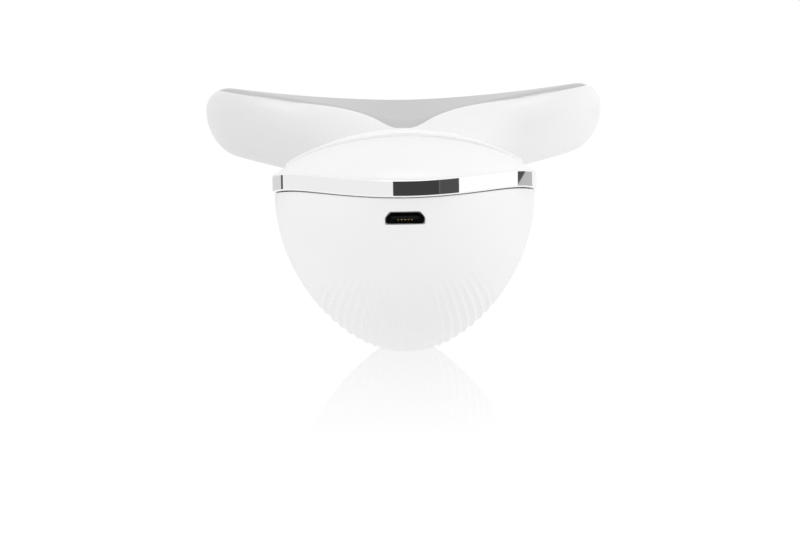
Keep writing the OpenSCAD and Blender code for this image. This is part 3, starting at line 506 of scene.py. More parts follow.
def rim_points(side, up, t, lip, base):
    """Points over a shell's rounded rim, from its outer face to its lining."""
    points = []
    for inset, fall in [bend(lip, a) for a in BENDS] + [(WALL, 0.0)]:
        u = along(t, BAND_PROUD + inset, mix(NECK_AT, SHELL_END, inset / WALL))
        points.append(place(side * plan_w(u, BAND_PROUD + inset), u, seam(u) + base - up * fall))
    return points


def close_end(rows, lining, base):
    """Adds the end wall: the lining rises to the rim and then runs out to the neck joint."""
    last = rows[-1]
    wall, sill = list(last), list(last)
    for i in lining:
        x, u = last[i].x / MM, last[i].y / MM + TOTAL_LEN / 2
        wall[i] = place(x, u, seam(u) + base)
        sill[i] = place(x, NECK_AT, seam(NECK_AT) + base)
    return rows + [wall, sill]


def belly_rows():
    """Sections of the lower shell: fluted face, rim, lining and rim again."""
    rows = []
    for j in range(ROWS + 1):
        t = j / ROWS
        u = along(t, BAND_PROUD)
        d = belly_d(u)
        lip = min(BELLY_LIP, d / 2)
        top = math.degrees(math.acos(clamp(lip / max(d, 0.01), 0, 0.98)))
        side = [mix(top, min(SPAN, top), i / SIDE_COLS) for i in range(1, SIDE_COLS)]
        flutes = [clamp(mix(-SPAN, SPAN, i / (FLUTE_COUNT * PER_FLUTE)), -top, top)
                  for i in range(FLUTE_COUNT * PER_FLUTE + 1)]
        row = []
        for a in [-a for a in side] + flutes + side[::-1]:
            x, z = belly_point(a, u)
            row.append(place(x, u, z))
        row += rim_points(1, 1, t, lip, 0)
        v = along(t, BAND_PROUD + WALL, SHELL_END)
        w, depth = plan_w(v, BAND_PROUD + WALL), belly_d(v, WALL)
        row += [place(w * math.sin(a), v, seam(v) - depth * math.cos(a)) for a in LINING[1:-1]]
        rows.append(row + rim_points(-1, 1, t, lip, 0)[::-1])
    start = 2 * (SIDE_COLS - 1) + FLUTE_COUNT * PER_FLUTE + 1 + len(BENDS)
    return close_end(rows, range(start, start + LINING_COLS + 1), 0)


def cover_rows():
    """Sections of the upper shell, in the same order."""
    rows = []
    for j in range(ROWS + 1):
        t = j / ROWS
        u = along(t, BAND_PROUD)
        w, rise = plan_w(u, BAND_PROUD), dome_h(u)
        lip = min(COVER_LIP, rise / 2)
        top = math.degrees(math.acos(clamp(lip / max(rise, 0.01), 0, 0.98) ** (1 / DOME_POWER)))
        row = []
        for k in range(COVER_COLS + 1):
            a = math.radians(mix(-top, top, k / COVER_COLS))
            z = seam(u) + BAND_H + rise * math.cos(a) ** DOME_POWER
            row.append(place(w * math.sin(a), u, z))
        row += rim_points(1, -1, t, lip, BAND_H)
        v = along(t, BAND_PROUD + WALL, SHELL_END)
        w, rise = plan_w(v, BAND_PROUD + WALL), dome_h(v, WALL)
        for a in LINING[1:-1]:
            z = seam(v) + BAND_H + rise * math.cos(a) ** DOME_POWER
            row.append(place(w * math.sin(a), v, z))
        rows.append(row + rim_points(-1, -1, t, lip, BAND_H)[::-1])
    start = COVER_COLS + 1 + len(BENDS)
    return close_end(rows, range(start, start + LINING_COLS + 1), BAND_H)


def core(up):
    """Filling of a shell's hollow that reaches a little into its wall."""
    reach = WALL - BITE
    rows = []
    for j in range(CORE_ROWS + 1):
        v = along(j / CORE_ROWS, BAND_PROUD + reach, SHELL_END + BITE)
        w = plan_w(v, BAND_PROUD + reach)
        row = []
        for a in LINING:
            z = (seam(v) + BAND_H + dome_h(v, reach) * max(0.0, math.cos(a)) ** DOME_POWER if up
                 else seam(v) - belly_d(v, reach) * math.cos(a))
            row.append(place(w * math.sin(a), v, z))
        rows.append(row)
    return tube("cutter", rows)


def trimmed(solids, up):
    """Posts joined and trimmed to a shell's hollow."""
    first = solids[0]
    carve(first, solids[1:], "UNION")
    carve(first, [core(up)], "INTERSECT")
    return first


def usb_outline(grow):
    """Section of the receptacle, wide at the bottom, with rounded corners."""
    w, h = USB_HALF_W + grow, USB_HALF_H + grow
    corners = [(-w, -h), (w, -h), (w, USB_SIDE), (w - USB_BEVEL, h), (USB_BEVEL - w, h),
               (-w, USB_SIDE)]
    points = []
    for i, p in enumerate(corners):
        p = Vector(p)
        before = (Vector(corners[i - 1]) - p).normalized() * USB_CORNER
        after = (Vector(corners[(i + 1) % len(corners)]) - p).normalized() * USB_CORNER
        for k in range(USB_STEPS + 1):
            s = k / USB_STEPS
            points.append(p + before * (1 - s) ** 2 + after * s ** 2)
    return points


def usb_tube(levels, name="cutter"):
    """Solid from sections of the receptacle: each level is its place and its growth."""
    return tube(name, [[place(p.x, u, USB_Z - USB_LOW + p.y) for p in usb_outline(grow)]
                       for u, grow in levels])


def post_top(u):
    return seam(u) - FRAME_LOW


def tenon_room(low, high):
    """The head's tenon goes through both shells' end walls."""
    half = TENON_W / 2 + FIT_GAP
    return prism(square(-half, half, SHELL_END - 1, NECK_AT + 1), low, high)


def make_rear_shell():
    shell = tube("rear_shell_fine", belly_rows())
    posts = []
    for x, u in BOARD_POSTS:
        posts += both(x, u, POST_D, POST_FOOT, BOARD_TOP - BOARD_T)
    for x, u in COVER_POSTS:
        posts += both(x, u, POST_D, POST_FOOT, post_top(u))
    posts += both(*NECK_POST, POST_D, NECK_FOOT, TENON_LOW - FIT_GAP)
    for x in (-RAIL_X, RAIL_X):
        posts.append(prism(square(x - RAIL_HALF, x + RAIL_HALF, RAIL_FROM, RAIL_TO), 1, TRAY_Z))
    carve(shell, [trimmed(posts, False)], "UNION")
    holes = [usb_tube([(-1, 0.16), (0.7, 0.1), (0.95, 0.08), (8, 0.08)])]    # flares outwards
    for x, u in BOARD_POSTS:
        holes += both(x, u, SCREW_HOLE, BOARD_TOP - BOARD_HOLE, BOARD_TOP)
    for x, u in COVER_POSTS:
        holes += both(x, u, SCREW_HOLE, post_top(u) - POST_HOLE, SEAM_Z + 4)
    holes += both(*NECK_POST, SCREW_HOLE, TENON_LOW - 3, TENON_LOW + 1)
    holes.append(tenon_room(TENON_LOW - FIT_GAP, SEAM_Z + 4))
    carve(shell, holes)
    dress(shell, SHELL_WHITE, ["rear_shell"])


POWER_AT, POWER_D = NECK_AT - 36, 11.0
LEVEL_AT, LEVEL_L, LEVEL_W = POWER_AT + 16, 12.0, 6.5
BUTTON_GAP, BUTTON_PROUD = 0.15, 0.1
LENS_AT = (POWER_AT + POWER_D / 2 + LEVEL_AT - LEVEL_W / 2) / 2
LENS_D, LENS_STEP = 1.8, 4.0
LENS_COLS, KEY_COLS = 32, 96
KEY_RIM, KEY_T, STEM_D = 0.7, 0.8, 3.0
KEY_EDGE, DISH_STEPS = 0.25, 8
KEY_TOP = cover_z(0, POWER_AT) - WALL - 1.1
KEY_LOW = KEY_TOP - KEY_T - 0.8
LEVEL_TOP = KEY_TOP - 1.1
LEVEL_LOW = LEVEL_TOP - KEY_T - 0.4
KEY_BOARD = KEY_LOW - 0.4 - 2.1
KEY_POST_D = 3.4
KEY_SCREW = (7.0, POWER_AT + 8)          # these posts hold the buttons' board by screws
KEY_STAND = (5.0, POWER_AT - 7.5)        # and it only rests on these


def openings():
    """Cutters for the lenses and the buttons, through cover and panel."""
    gap = 2 * BUTTON_GAP
    holes = [circle(i * LENS_STEP, LENS_AT, LENS_D + 0.1, LENS_COLS) for i in (-1, 0, 1)]
    holes.append(circle(0, POWER_AT, POWER_D + gap, KEY_COLS))
    holes.append(pill(0, LEVEL_AT, LEVEL_L + gap, LEVEL_W + gap, KEY_COLS))
    return [prism(hole, KEY_TOP - 4, CREST_Z + 4) for hole in holes]


def make_front_cover():
    cover = tube("front_cover_fine", cover_rows())
    pillars, stubs = [], []
    for x, u in COVER_POSTS:
        pillars += both(x, u, PILLAR_D, seam(u) + BAND_H, CREST_Z)
        stubs += both(x, u, PILLAR_D, post_top(u) + FIT_GAP, seam(u) + BAND_H + 0.5)
    for x, u in (KEY_SCREW, KEY_STAND):
        pillars += both(x, u, KEY_POST_D, KEY_BOARD, CREST_Z)
    carve(cover, stubs + [trimmed(pillars, True)], "UNION")
    holes = openings()
    for x, u in COVER_POSTS:
        holes += both(x, u, SCREW_HOLE, post_top(u) - 1, CREST_Z)
        holes += both(x, u, SCREW_HEAD, post_top(u) + SCREW_SHELF, CREST_Z + 2)
    holes += both(*KEY_SCREW, SCREW_HOLE, KEY_BOARD - 1, KEY_BOARD + 4)
    holes.append(tenon_room(SEAM_Z - 3, TENON_TOP + FIT_GAP))
    carve(cover, holes)
    dress(cover, SHELL_WHITE, ["front_cover"])


# ---- band and inner frame -------------------------------------------------------------------

def rounded(corners, radius, steps=5):
    """Closed profile with quarter bends at its corners and a point close to each bend's ends."""
    points = []
    for i, p in enumerate(corners):
        p = Vector(p)
        r = radius[i]
        before = (Vector(corners[i - 1]) - p).normalized()
        after = (Vector(corners[(i + 1) % len(corners)]) - p).normalized()
        points.append(p + before * r * 1.2)
        for k in range(steps + 1):
            a = math.pi / 2 * k / steps
            points.append(p + before * r * (1 - math.sin(a)) + after * r * (1 - math.cos(a)))
        points.append(p + after * r * 1.2)
    return points


def sweep(name, profile, end=NECK_AT):
    """A profile of inset and height carried round the butt along the rim."""
    rows = []
    for i in range(-ROWS, ROWS + 1):
        row = []
        for p in profile:
            u = along(abs(i) / ROWS, p.x, end)
            w = math.copysign(plan_w(u, p.x), i)
            row.append(place(w, u, seam(u) + p.y))
        rows.append(row)
    return tube(name, rows)


def make_band():
    """The band, with a thin lip in front of the cover's rim."""
    back = BAND_PROUD + BAND_T
    top, under = BAND_H + BAND_LIP, BAND_H - BAND_ROOM
    profile = rounded([(0, BAND_SHADOW), (0, top), (BAND_PROUD - 0.04, top), (BAND_PROUD, under),
                       (back, under), (back, BAND_SHADOW)], [0.3, 0.1, 0.1, 0.04, 0.1, 0.1])
    dress(sweep("trim_band_fine", profile), CHROME, ["trim_band"])


def make_inner_frame():
    outer = BAND_PROUD + WALL + FIT_GAP
    back = outer + FRAME_T
    profile = rounded([(outer + 0.2, -FRAME_LOW), (outer, 0), (outer, BAND_H),
                       (back, BAND_H + 0.6), (back, -FRAME_LOW)], [0.1] * 5, 2)
    dress(sweep("inner_frame_fine", profile, SHELL_END - 0.5), INNER_WHITE, ["inner_frame"])


# ---- panel, buttons and lenses --------------------------------------------------------------

PANEL_FOOT = 0.005               # the panel's edge closes the thin line of adhesive
PANEL_EDGE = 0.25
PANEL_ROWS, PANEL_COLS = 160, 90


def panel_point(t, s, inset, lift):
    """A point of the panel: t along it, s from -1 to 1 across, inset from its edge."""
    u = mix(PANEL_START + 0.05 + inset, PANEL_END - 0.05 - inset, ease(t))
    near = arch((u - PANEL_START - inset) / PANEL_NOSE)
    far = arch((PANEL_END - inset - u) / PANEL_TAIL)
    x = s * (plan_w(u, BAND_PROUD) - PANEL_MARGIN - inset) * near * far
    return place(x, u, cover_z(x, u) + lift)


def make_panel():
    skin = BOND + PANEL_T
    bends = [(fall, skin - inset) for inset, fall in [bend(PANEL_EDGE, a) for a in BENDS]]
    sides = [math.sin(math.radians(mix(-90, 90, k / PANEL_COLS))) for k in range(1, PANEL_COLS)]
    rows = []
    for j in range(PANEL_ROWS + 1):
        t = j / PANEL_ROWS
        row = [panel_point(t, s, PANEL_EDGE, skin) for s in sides]
        row += [panel_point(t, 1, e, z) for e, z in bends]
        row += [panel_point(t, s, 0, PANEL_FOOT) for s in [1] + [-s for s in sides] + [-1]]
        row += [panel_point(t, -1, e, z) for e, z in bends[::-1]]
        rows.append(row)
    panel = tube("control_panel_fine", rows)
    carve(panel, openings())
    dress(panel, PANEL_WHITE, ["control_panel"])


def over(outline, centre, scale):
    """An outline drawn in toward its centre."""
    return [(mix(centre[0], x, scale), mix(centre[1], u, scale)) for x, u in outline]


def stacked(name, levels):
    """Solid from outlines with a height each; a height may be a function of x and u."""
    return tube(name, [[place(x, u, z(x, u) if callable(z) else z) for x, u in outline]
                       for outline, z in levels])


def key(name, shape, low, flange, centre, dish):
    """A button: stem, flange under the cover, and a body whose top follows the cover."""
    skin = BOND + PANEL_T + BUTTON_PROUD

    def lift(fall):
        return lambda x, u: cover_z(x, u) + skin - fall

    stem, tip = [circle(*centre, d, KEY_COLS) for d in (STEM_D, STEM_D - 0.4)]
    levels = [(tip, low), (stem, low + 0.2), (stem, flange - KEY_T),
              (shape(KEY_RIM - 0.1), flange - KEY_T), (shape(KEY_RIM), flange - KEY_T + 0.1),
              (shape(KEY_RIM), flange - 0.1), (shape(KEY_RIM - 0.1), flange), (shape(0), flange)]
    for inset, fall in [bend(KEY_EDGE, a) for a in BENDS]:
        levels.append((shape(-inset), lift(fall)))
    for k in range(1, DISH_STEPS + 1):
        s = 1 - k / DISH_STEPS
        top = over(shape(-KEY_EDGE), centre, max(s, 0.002))
        levels.append((top, lift(dish * (1 - s * s) ** 2)))
    return stacked(name, levels)


def make_keys():
    power = key("power_button_fine", lambda g: circle(0, POWER_AT, POWER_D + 2 * g, KEY_COLS),
                KEY_LOW, KEY_TOP, (0, POWER_AT), 0.18)
    dress(power, KEY_WHITE, ["power_button"], "power_button")
    level = key("level_button_fine",
                lambda g: pill(0, LEVEL_AT, LEVEL_L + 2 * min(g, 0), LEVEL_W + 2 * g, KEY_COLS),
                LEVEL_LOW, LEVEL_TOP, (0, LEVEL_AT), 0.12)
    dress(level, KEY_WHITE, ["level_button"], "level_button")


def make_lenses():
    bm = bmesh.new()
    wall = cover_z(0, POWER_AT) - WALL
    for x in (-LENS_STEP, 0, LENS_STEP):
        top = cover_z(x, LENS_AT) + BOND + PANEL_T
        levels = ((LENS_D - 0.2, wall - 2), (LENS_D, wall - 1.9), (LENS_D, top - 0.25),
                  (LENS_D - 0.1, top - 0.1), (LENS_D - 0.4, top - 0.03), (0.6, top))
        bent_grid(bm, [[place(*p, z) for p in circle(x, LENS_AT, d, LENS_COLS)]
                       for d, z in levels])
    close_up(bm)
    dress(to_object(bm, "indicator_lenses_fine"), LENS, ["indicator_lenses"])


# ---- head -----------------------------------------------------------------------------------

QUARTER = 20.0                   # points of a quarter of the outline in the form's own count
JOINT_STEPS = 4.0
BEND = 12.0
FINE = 72                        # points of a quarter here
CAP_STEPS = 14                   # steps from the near side to the far side
TONGUE_STEPS = 8.0
FILLET_TILT = 0.14
FILLET_END = (FILLET_X, HEAD_MID - WING_D * math.sqrt(1 - (FILLET_X / HALF_HEAD) ** 4))


def oval(x, a):
    """Depth of the blunt oval that carries the wings, as a share, at x of a half width a."""
    return math.sqrt(max(0.0, 1 - (x / a) ** 4))


def tip_angle(i):
    return math.acos((FILLET_X / HALF_HEAD) ** 2) * (QUARTER - i) / (QUARTER - BEND)


def bezier(a, b, c, d, t):
    return (1 - t) ** 3 * a + 3 * (1 - t) ** 2 * t * b + 3 * (1 - t) * t * t * c + t ** 3 * d


def near_pt(i):
    """The head's outline on the handle's side: neck joint, fillet and wing's tip."""
    if i <= JOINT_STEPS:
        return JOINT_W * math.sin(math.pi / 2 * i / JOINT_STEPS), NECK_AT
    if i <= BEND:
        t = (i - JOINT_STEPS) / (BEND - JOINT_STEPS)
        end_x, end_u = FILLET_END
        return (bezier(JOINT_W, JOINT_W, end_x - FILLET_PULL, end_x, t),
                bezier(NECK_AT, NECK_AT + FILLET_PULL, end_u - FILLET_TILT * FILLET_PULL, end_u, t))
    a = tip_angle(i)
    return HALF_HEAD * math.sqrt(max(0, math.cos(a))), HEAD_MID - WING_D * math.sin(a)


def far_pt(i):
    if i <= BEND:
        x = FILLET_X * i / BEND
        return x, HEAD_MID + WING_D * oval(x, HALF_HEAD)
    a = tip_angle(i)
    return HALF_HEAD * math.sqrt(max(0, math.cos(a))), HEAD_MID + WING_D * math.sin(a)


def outline_pt(i):
    side, k = (-1, 4 * QUARTER - i) if i > 2 * QUARTER else (1, i)
    x, u = near_pt(k) if k <= QUARTER else far_pt(2 * QUARTER - k)
    return side * x, u


def plate_x(i, e):
    """Steps across the plate, even over the tongue and wider toward the tips."""
    a = HALF_HEAD - PLATE_MARGIN - e
    step = (TONGUE_W - e) / 6
    if i <= TONGUE_STEPS:
        return step * i
    if i <= BEND:
        return mix(step * TONGUE_STEPS, a * FILLET_X / HALF_HEAD,
                   ((i - TONGUE_STEPS) / (BEND - TONGUE_STEPS)) ** 1.2)
    return a * math.sqrt(max(0, math.cos(tip_angle(i))))


def plate_near(i, e):
    """The plate's outline on the handle's side, drawn in by e, with its tongue."""
    a, x, d = HALF_HEAD - PLATE_MARGIN - e, plate_x(i, e), WING_D - PLATE_MARGIN - e
    back = d * oval(x, a) if i <= BEND else d * math.sin(tip_angle(i))
    tongue = (TONGUE_LEN + e * 0.2) * math.exp(-(x / (TONGUE_W - e)) ** TONGUE_POWER)
    return x, HEAD_MID - back - tongue + e * 0.2


def plate_far(i, e):
    a, d = HALF_HEAD - PLATE_MARGIN - e, WING_D - FAR_MARGIN - e
    if i <= BEND:
        x = a * FILLET_X / HALF_HEAD * i / BEND
        return x, HEAD_MID + d * oval(x, a)
    return a * math.sqrt(max(0, math.cos(tip_angle(i)))), HEAD_MID + d * math.sin(tip_angle(i))


def plate_pt(i, e):
    side, k = (-1, 4 * QUARTER - i) if i > 2 * QUARTER else (1, i)
    x, u = plate_near(k, e) if k <= QUARTER else plate_far(2 * QUARTER - k, e)
    return side * x, u


COUNT = [k * QUARTER / FINE for k in range(4 * FINE)]
OUTLINE = np.array([outline_pt(i) for i in COUNT])
EDGE = OUTLINE[round(JOINT_STEPS * FINE / QUARTER):2 * FINE + 1]
EDGE_AT = np.array(COUNT[round(JOINT_STEPS * FINE / QUARTER):2 * FINE + 1])


def soft(t):
    return 0.5 - 0.5 * np.cos(np.pi * np.clip(t, 0, 1))


def rounds(low):
    """Radius over which the upper or the lower skin rounds off along the outline."""
    fillet = soft((EDGE_AT - JOINT_STEPS) / (BEND - JOINT_STEPS))
    if low:
        wing = BELLY_ROUND - TIP_ROUND * np.minimum((EDGE_AT - BEND) / (QUARTER - BEND), 1)
        return np.where(EDGE_AT <= BEND, JOINT_W + (BELLY_ROUND - JOINT_W) * fillet, wing)
    wing = np.where(EDGE_AT <= QUARTER, NEAR_ROUND, FAR_ROUND)
    return np.where(EDGE_AT <= BEND, JOINT_W + (NEAR_ROUND - JOINT_W) * fillet, wing)


ROUND_TOP, ROUND_LOW = rounds(False), rounds(True)


def inward(points, radii):
    """How far a point is in from the outline: 0 on it, 1 where the rounding has ended."""
    q = np.stack([np.abs(points[:, 0]), points[:, 1]], 1)[:, None, :]
    a, d = EDGE[:-1][None], (EDGE[1:] - EDGE[:-1])[None]
    t = np.clip(((q - a) * d).sum(2) / (d * d).sum(2), 0, 1)
    gap = np.linalg.norm(q - a - t[..., None] * d, axis=2)
    return np.minimum(1, (gap / ((radii[:-1] + radii[1:]) / 2)[None]).min(1))


def wingness(p):
    """0 at the neck joint, 1 out on the wings."""
    return soft(np.maximum((p[:, 1] - NECK_AT) / NECK_RUN, (np.abs(p[:, 0]) - JOINT_W) / 10))


def plate_plane(p):
    """The plate's upper face, carried on over the whole head."""
    x = np.abs(p[:, 0])
    near = PLATE_NEAR_Z + PLATE_SLOPE * (np.hypot(x, VALLEY) - VALLEY)
    far = PLATE_FAR_Z + PLATE_SAG * (x / (HALF_HEAD - 5)) ** 2
    v = (p[:, 1] - (HEAD_MID - WING_D + PLATE_MARGIN)) / (HEAD_DEPTH - PLATE_MARGIN - FAR_MARGIN)
    return near + (far - near) * v


def top_plane(p):
    return NECK_TOP_Z + (plate_plane(p) - NECK_TOP_Z) * soft((p[:, 1] - NECK_AT) / (NECK_RUN - 4))


def low_plane(p):
    wing = HEAD_LOW_Z + LOW_SLOPE * (np.hypot(p[:, 0], LOW_VALLEY) - LOW_VALLEY)
    return NECK_LOW_Z + (wing - NECK_LOW_Z) * soft((p[:, 1] - NECK_AT) / NECK_RUN)


def equator(p):
    """Height where the head's upper and lower skin meet."""
    low = low_plane(p)
    return low + (top_plane(p) - low) * (0.54 + 0.06 * np.abs(p[:, 0]) / HALF_HEAD)


def top_z(p):
    s = inward(p, ROUND_TOP)
    wing = wingness(p)
    joint = seam(NECK_AT) + BAND_H
    lo = joint + (equator(p) + 0.3 - joint) * wing
    power = DOME_POWER / 2 + (0.5 - DOME_POWER / 2) * wing
    return lo + (top_plane(p) - lo) * (1 - (1 - s) ** 2) ** power


def low_z(p):
    s = inward(p, ROUND_LOW)
    hi = seam(NECK_AT) + (equator(p) - 0.3 - seam(NECK_AT)) * wingness(p)
    return hi + (low_plane(p) - hi) * np.sqrt(1 - (1 - s) ** 2)


def plate_loop(e):
    return np.array([plate_pt(i, e) for i in COUNT])


def head_loop(q, e):
    """A loop between the head's outline, at q = 0, and the plate's."""
    return OUTLINE + (plate_loop(e) - OUTLINE) * q


def laid(points, height, lift=0.0):
    """Points put on a skin, moved up by lift."""
    z = height(points) + lift
    return [place(x, u, h) for (x, u), h in zip(points, z)]


def across(loop, height, lift):
    """Rows that span a loop from its near side to its far side."""
    near = np.array([loop[k % len(loop)] for k in range(-FINE, FINE + 1)])
    far = np.array([loop[(2 * FINE - k) % len(loop)] for k in range(-FINE, FINE + 1)])
    return [laid(near + (far - near) * s / CAP_STEPS, height, lift) for s in range(CAP_STEPS + 1)]


def lofted(name, loops, low_cap, top_cap):
    bm = bmesh.new()
    bent_grid(bm, loops)
    bent_grid(bm, low_cap, closed=False)
    bent_grid(bm, top_cap, closed=False)
    close_up(bm)
    return to_object(bm, name)


HEAD_RINGS, RING_POWER = 22, 1.8         # loops of a skin, and how they crowd at the outline
HEAD_CAP = 6.0
MOTOR_AT, MOTOR_SEAT = HEAD_MID + 0.5, HEAD_LOW_Z + 3.3
STANDS, STAND_D = (-24, -15), 4.0        # they carry the head's board
STAND_AT, STAND_TOP = HEAD_MID - 0.5, MOTOR_SEAT + 9.4
BORE_Z, BORE_R, BORE_COLS = 33.0, 2.0, 40    # the leads' way through the tenon
PLATE_CAP, PLATE_EDGE = 3.6, 0.3


def make_head():
    """Both skins, the plate's pocket, the hollow and what stands in it."""
    ledge, edge, deep = -PLATE_T - GASKET_T, -PLATE_GAP, LEDGE_W + 2
    loops = [laid(head_loop((1 - k / HEAD_RINGS) ** RING_POWER, HEAD_CAP), low_z)
             for k in range(HEAD_RINGS + 1)]
    loops += [laid(head_loop((k / HEAD_RINGS) ** RING_POWER, edge - 0.15), top_z)
              for k in range(HEAD_RINGS + 1)]
    loops += [laid(plate_loop(e), skin, lift) for e, skin, lift in (
        (edge - 0.05, top_z, -0.02), (edge, top_z, -0.08), (edge, top_z, ledge),
        (LEDGE_W, top_z, ledge), (LEDGE_W + 0.2, low_z, HEAD_WALL), (deep, low_z, HEAD_WALL))]
    head = lofted("head_shell_fine", loops, across(plate_loop(HEAD_CAP), low_z, 0),
                  across(plate_loop(deep), low_z, HEAD_WALL))
    tenon = square(-TENON_W / 2, TENON_W / 2, NECK_AT - TENON_L, NECK_AT + 1)
    seat = square(-9, 6, MOTOR_AT - 5, MOTOR_AT + 5)
    solids = [prism(tenon, TENON_LOW, TENON_TOP), prism(seat, MOTOR_SEAT - 2, MOTOR_SEAT)]
    holes = both(*NECK_POST, SCREW_HOLE, TENON_LOW - 1, TENON_TOP + 1)
    for x in STANDS:
        floor = float(low_plane(np.array([[x, STAND_AT]]))[0])
        solids.append(prism(circle(x, STAND_AT, STAND_D), floor + 1, STAND_TOP))
        holes.append(prism(circle(x, STAND_AT, SCREW_HOLE), STAND_TOP - 6, STAND_TOP + 1))
    carve(head, solids, "UNION")
    way = [place(0, u, BORE_Z) for u in (NECK_AT - TENON_L - 1, NECK_AT + 11)]
    turns = [2 * math.pi * k / BORE_COLS for k in range(BORE_COLS)]
    ring = [Vector((BORE_R * math.cos(a), 0, BORE_R * math.sin(a))) * MM for a in turns]
    holes.append(tube("cutter", [[p + r for r in ring] for p in way]))
    carve(head, holes)
    dress(head, SHELL_WHITE, ["head_shell"], angle=40)


def make_plate():
    loops = [laid(plate_loop(PLATE_CAP), top_z, -PLATE_T), laid(plate_loop(0.1), top_z, -PLATE_T),
             laid(plate_loop(0), top_z, -PLATE_T + 0.1)]
    for inset, fall in [bend(PLATE_EDGE, a) for a in range(0, 91, 18)]:
        loops.append(laid(plate_loop(inset), top_z, -fall))
    loops += [laid(plate_loop(e), top_z) for e in (0.6, 0.9, 1.4, 2, 2.8, PLATE_CAP)]
    plate = lofted("contact_plate_fine", loops, across(plate_loop(PLATE_CAP), top_z, -PLATE_T),
                   across(plate_loop(PLATE_CAP), top_z, 0))
    dress(plate, PLATE_METAL, ["contact_plate"], angle=40)


def make_gasket():
    low, high, wide = -PLATE_T - GASKET_T + 0.05, -PLATE_T - 0.07, 1.6
    loops = [laid(plate_loop(e), top_z, z) for e, z in
             ((wide, low), (FIT_GAP, low), (FIT_GAP, high), (wide, high), (wide, low))]
    dress(tube("plate_gasket_fine", loops), GASKET, ["plate_gasket"])


# ---- charging port --------------------------------------------------------------------------

USB_FROM, USB_L, SHEET_T = 1.2, 5.6, 0.16
PAINTED_SHADE_X, PAINTED_SHADE_Z = 3.6, 0.98   # faces nearer to the mouth's middle than this get the painted shade


def make_port():
    """The receptacle's metal mouth, with a dark grey painted shade on its inner faces."""
    back = USB_FROM + USB_L
    levels = [(back, -0.1), (back - 0.1, 0), (USB_FROM + 0.1, 0), (USB_FROM + 0.02, -0.06),
              (USB_FROM, -SHEET_T / 2), (USB_FROM + 0.03, 0.06 - SHEET_T),
              (USB_FROM + 0.15, -SHEET_T), (back - 0.4, -SHEET_T)]
    shell = usb_tube(levels, "usb_shell_fine")
    dress(shell, STEEL, ["usb_shell"])
    # the inner faces of the mouth get a dark grey painted shade in place of the bare steel
    shell.data.materials.append(PORT_PAINTED_SHADE)
    for face in shell.data.polygons:
        middle = face.center / MM
        shaded_face = abs(middle.x) < PAINTED_SHADE_X and abs(middle.z - USB_Z + USB_LOW) < PAINTED_SHADE_Z
        face.material_index = 1 if shaded_face and middle.y + TOTAL_LEN / 2 > USB_FROM + 0.1 else 0


# ---- inner pieces keep their solids ---------------------------------------------------------

FINISHES = {
    SILICONE: ["power_return", "level_return"],
    FILM: ["heater_film", "ribbon_cable"],
    PORT_BLACK: ["usb_tongue"],
    BLACK: ["controller_chip", "key_switches"],
    GOLD: ["usb_contacts", "plate_spring"],
    BOARD: ["main_board", "button_board", "head_board"],
    FERRITE: ["boost_inductor"],
    CERAMIC: ["chip_capacitors"],
    INNER_WHITE: ["wire_connector", "battery_tray", "indicator_leds"],
    FOIL: ["battery_cell"],
    LEAD_RED: ["battery_lead_plus"],
    LEAD_BLACK: ["battery_lead_minus", "motor_cradle"],
    LEAD_WHITE: ["neck_leads"],
    LEAD_BLUE: ["motor_leads"],
    STEEL: ["vibration_motor", "cover_screws", "board_screws", "neck_screws", "key_screws",
            "stand_screws"],
    IRON: ["motor_weight"],
}


def finish_inner():
    for material, names in FINISHES.items():
        for name in names:
            mesh = nodes[name].data
            mesh.materials.clear()
            mesh.materials.append(material)


def soften_returns():
    """Gives each silicone ring a mesh of its own."""
    for name, joint, u, top in (("power_return", "power_press", POWER_AT, KEY_TOP),
                                ("level_return", "level_press", LEVEL_AT, LEVEL_TOP)):
        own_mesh(nodes[name])


# ---- table, light and camera ----------------------------------------------------------------

WHITE = (1, 1, 1, 1)
REACH = 0.30                     # distance of the cards that the band mirrors
CARD_STEPS = 24
TABLE_HALF = 3.0
TABLE_GLOW = 0.965               # what the camera sees of the table by itself
TABLE_LIT = 0.05                 # how far the lamps and shadows change it
TABLE_BOUNCE = 0.95              # what it throws back at the pieces
TABLE_MIRROR = 0.6
TABLE_BLUR = 0.03
MIRROR_START, MIRROR_END, MIRROR_SIDE = 0.005, -0.19, 0.09
MIRROR_PEAK = 0.91               # share of the way from end to start where it is strongest
LAMP_SIDE = 0.35                 # edge of a square lamp
LAMP_AIM = Vector((0, 0, 0.03))
SENSOR, WIDTH_PX = 36, 800
FOCAL_PX = 3710.0
CAMERA_Y = -TOTAL_LEN / 2 * MM - 0.7
CAMERA_Z = 0.0778
HORIZON_PX = 298.5               # its height over the middle of the view
PITCH = math.atan(HORIZON_PX / FOCAL_PX)
ROLL = math.radians(-0.85)
SHIFT_PX = -5.8


def fade(tree):
    """Share of the table's mirror: none behind the foot, full before it, less to the front."""
    link = tree.links.new
    coords, axes = add(tree, "TexCoord"), add(tree, "SeparateXYZ")
    share = add(tree, "MapRange", From_Min=MIRROR_END, From_Max=MIRROR_START)
    ramp = add(tree, "ValToRGB")
    for stop in ramp.color_ramp.elements:
        stop.color = (0, 0, 0, 1)
    full = ramp.color_ramp.elements.new(MIRROR_PEAK)
    full.color = (TABLE_MIRROR, TABLE_MIRROR, TABLE_MIRROR, 1)
    side = add(tree, "Math")
    side.operation = "ABSOLUTE"
    narrow = add(tree, "MapRange", From_Min=MIRROR_SIDE, From_Max=MIRROR_SIDE / 2)
    both_ways = add(tree, "Math")
    both_ways.operation = "MULTIPLY"
    link(coords.outputs["Object"], axes.inputs[0])
    link(axes.outputs["Y"], share.inputs["Value"])
    link(share.outputs["Result"], ramp.inputs["Fac"])
    link(axes.outputs["X"], side.inputs[0])
    link(side.outputs["Value"], narrow.inputs["Value"])
    link(ramp.outputs["Color"], both_ways.inputs[0])
    link(narrow.outputs["Result"], both_ways.inputs[1])
    return both_ways.outputs["Value"]


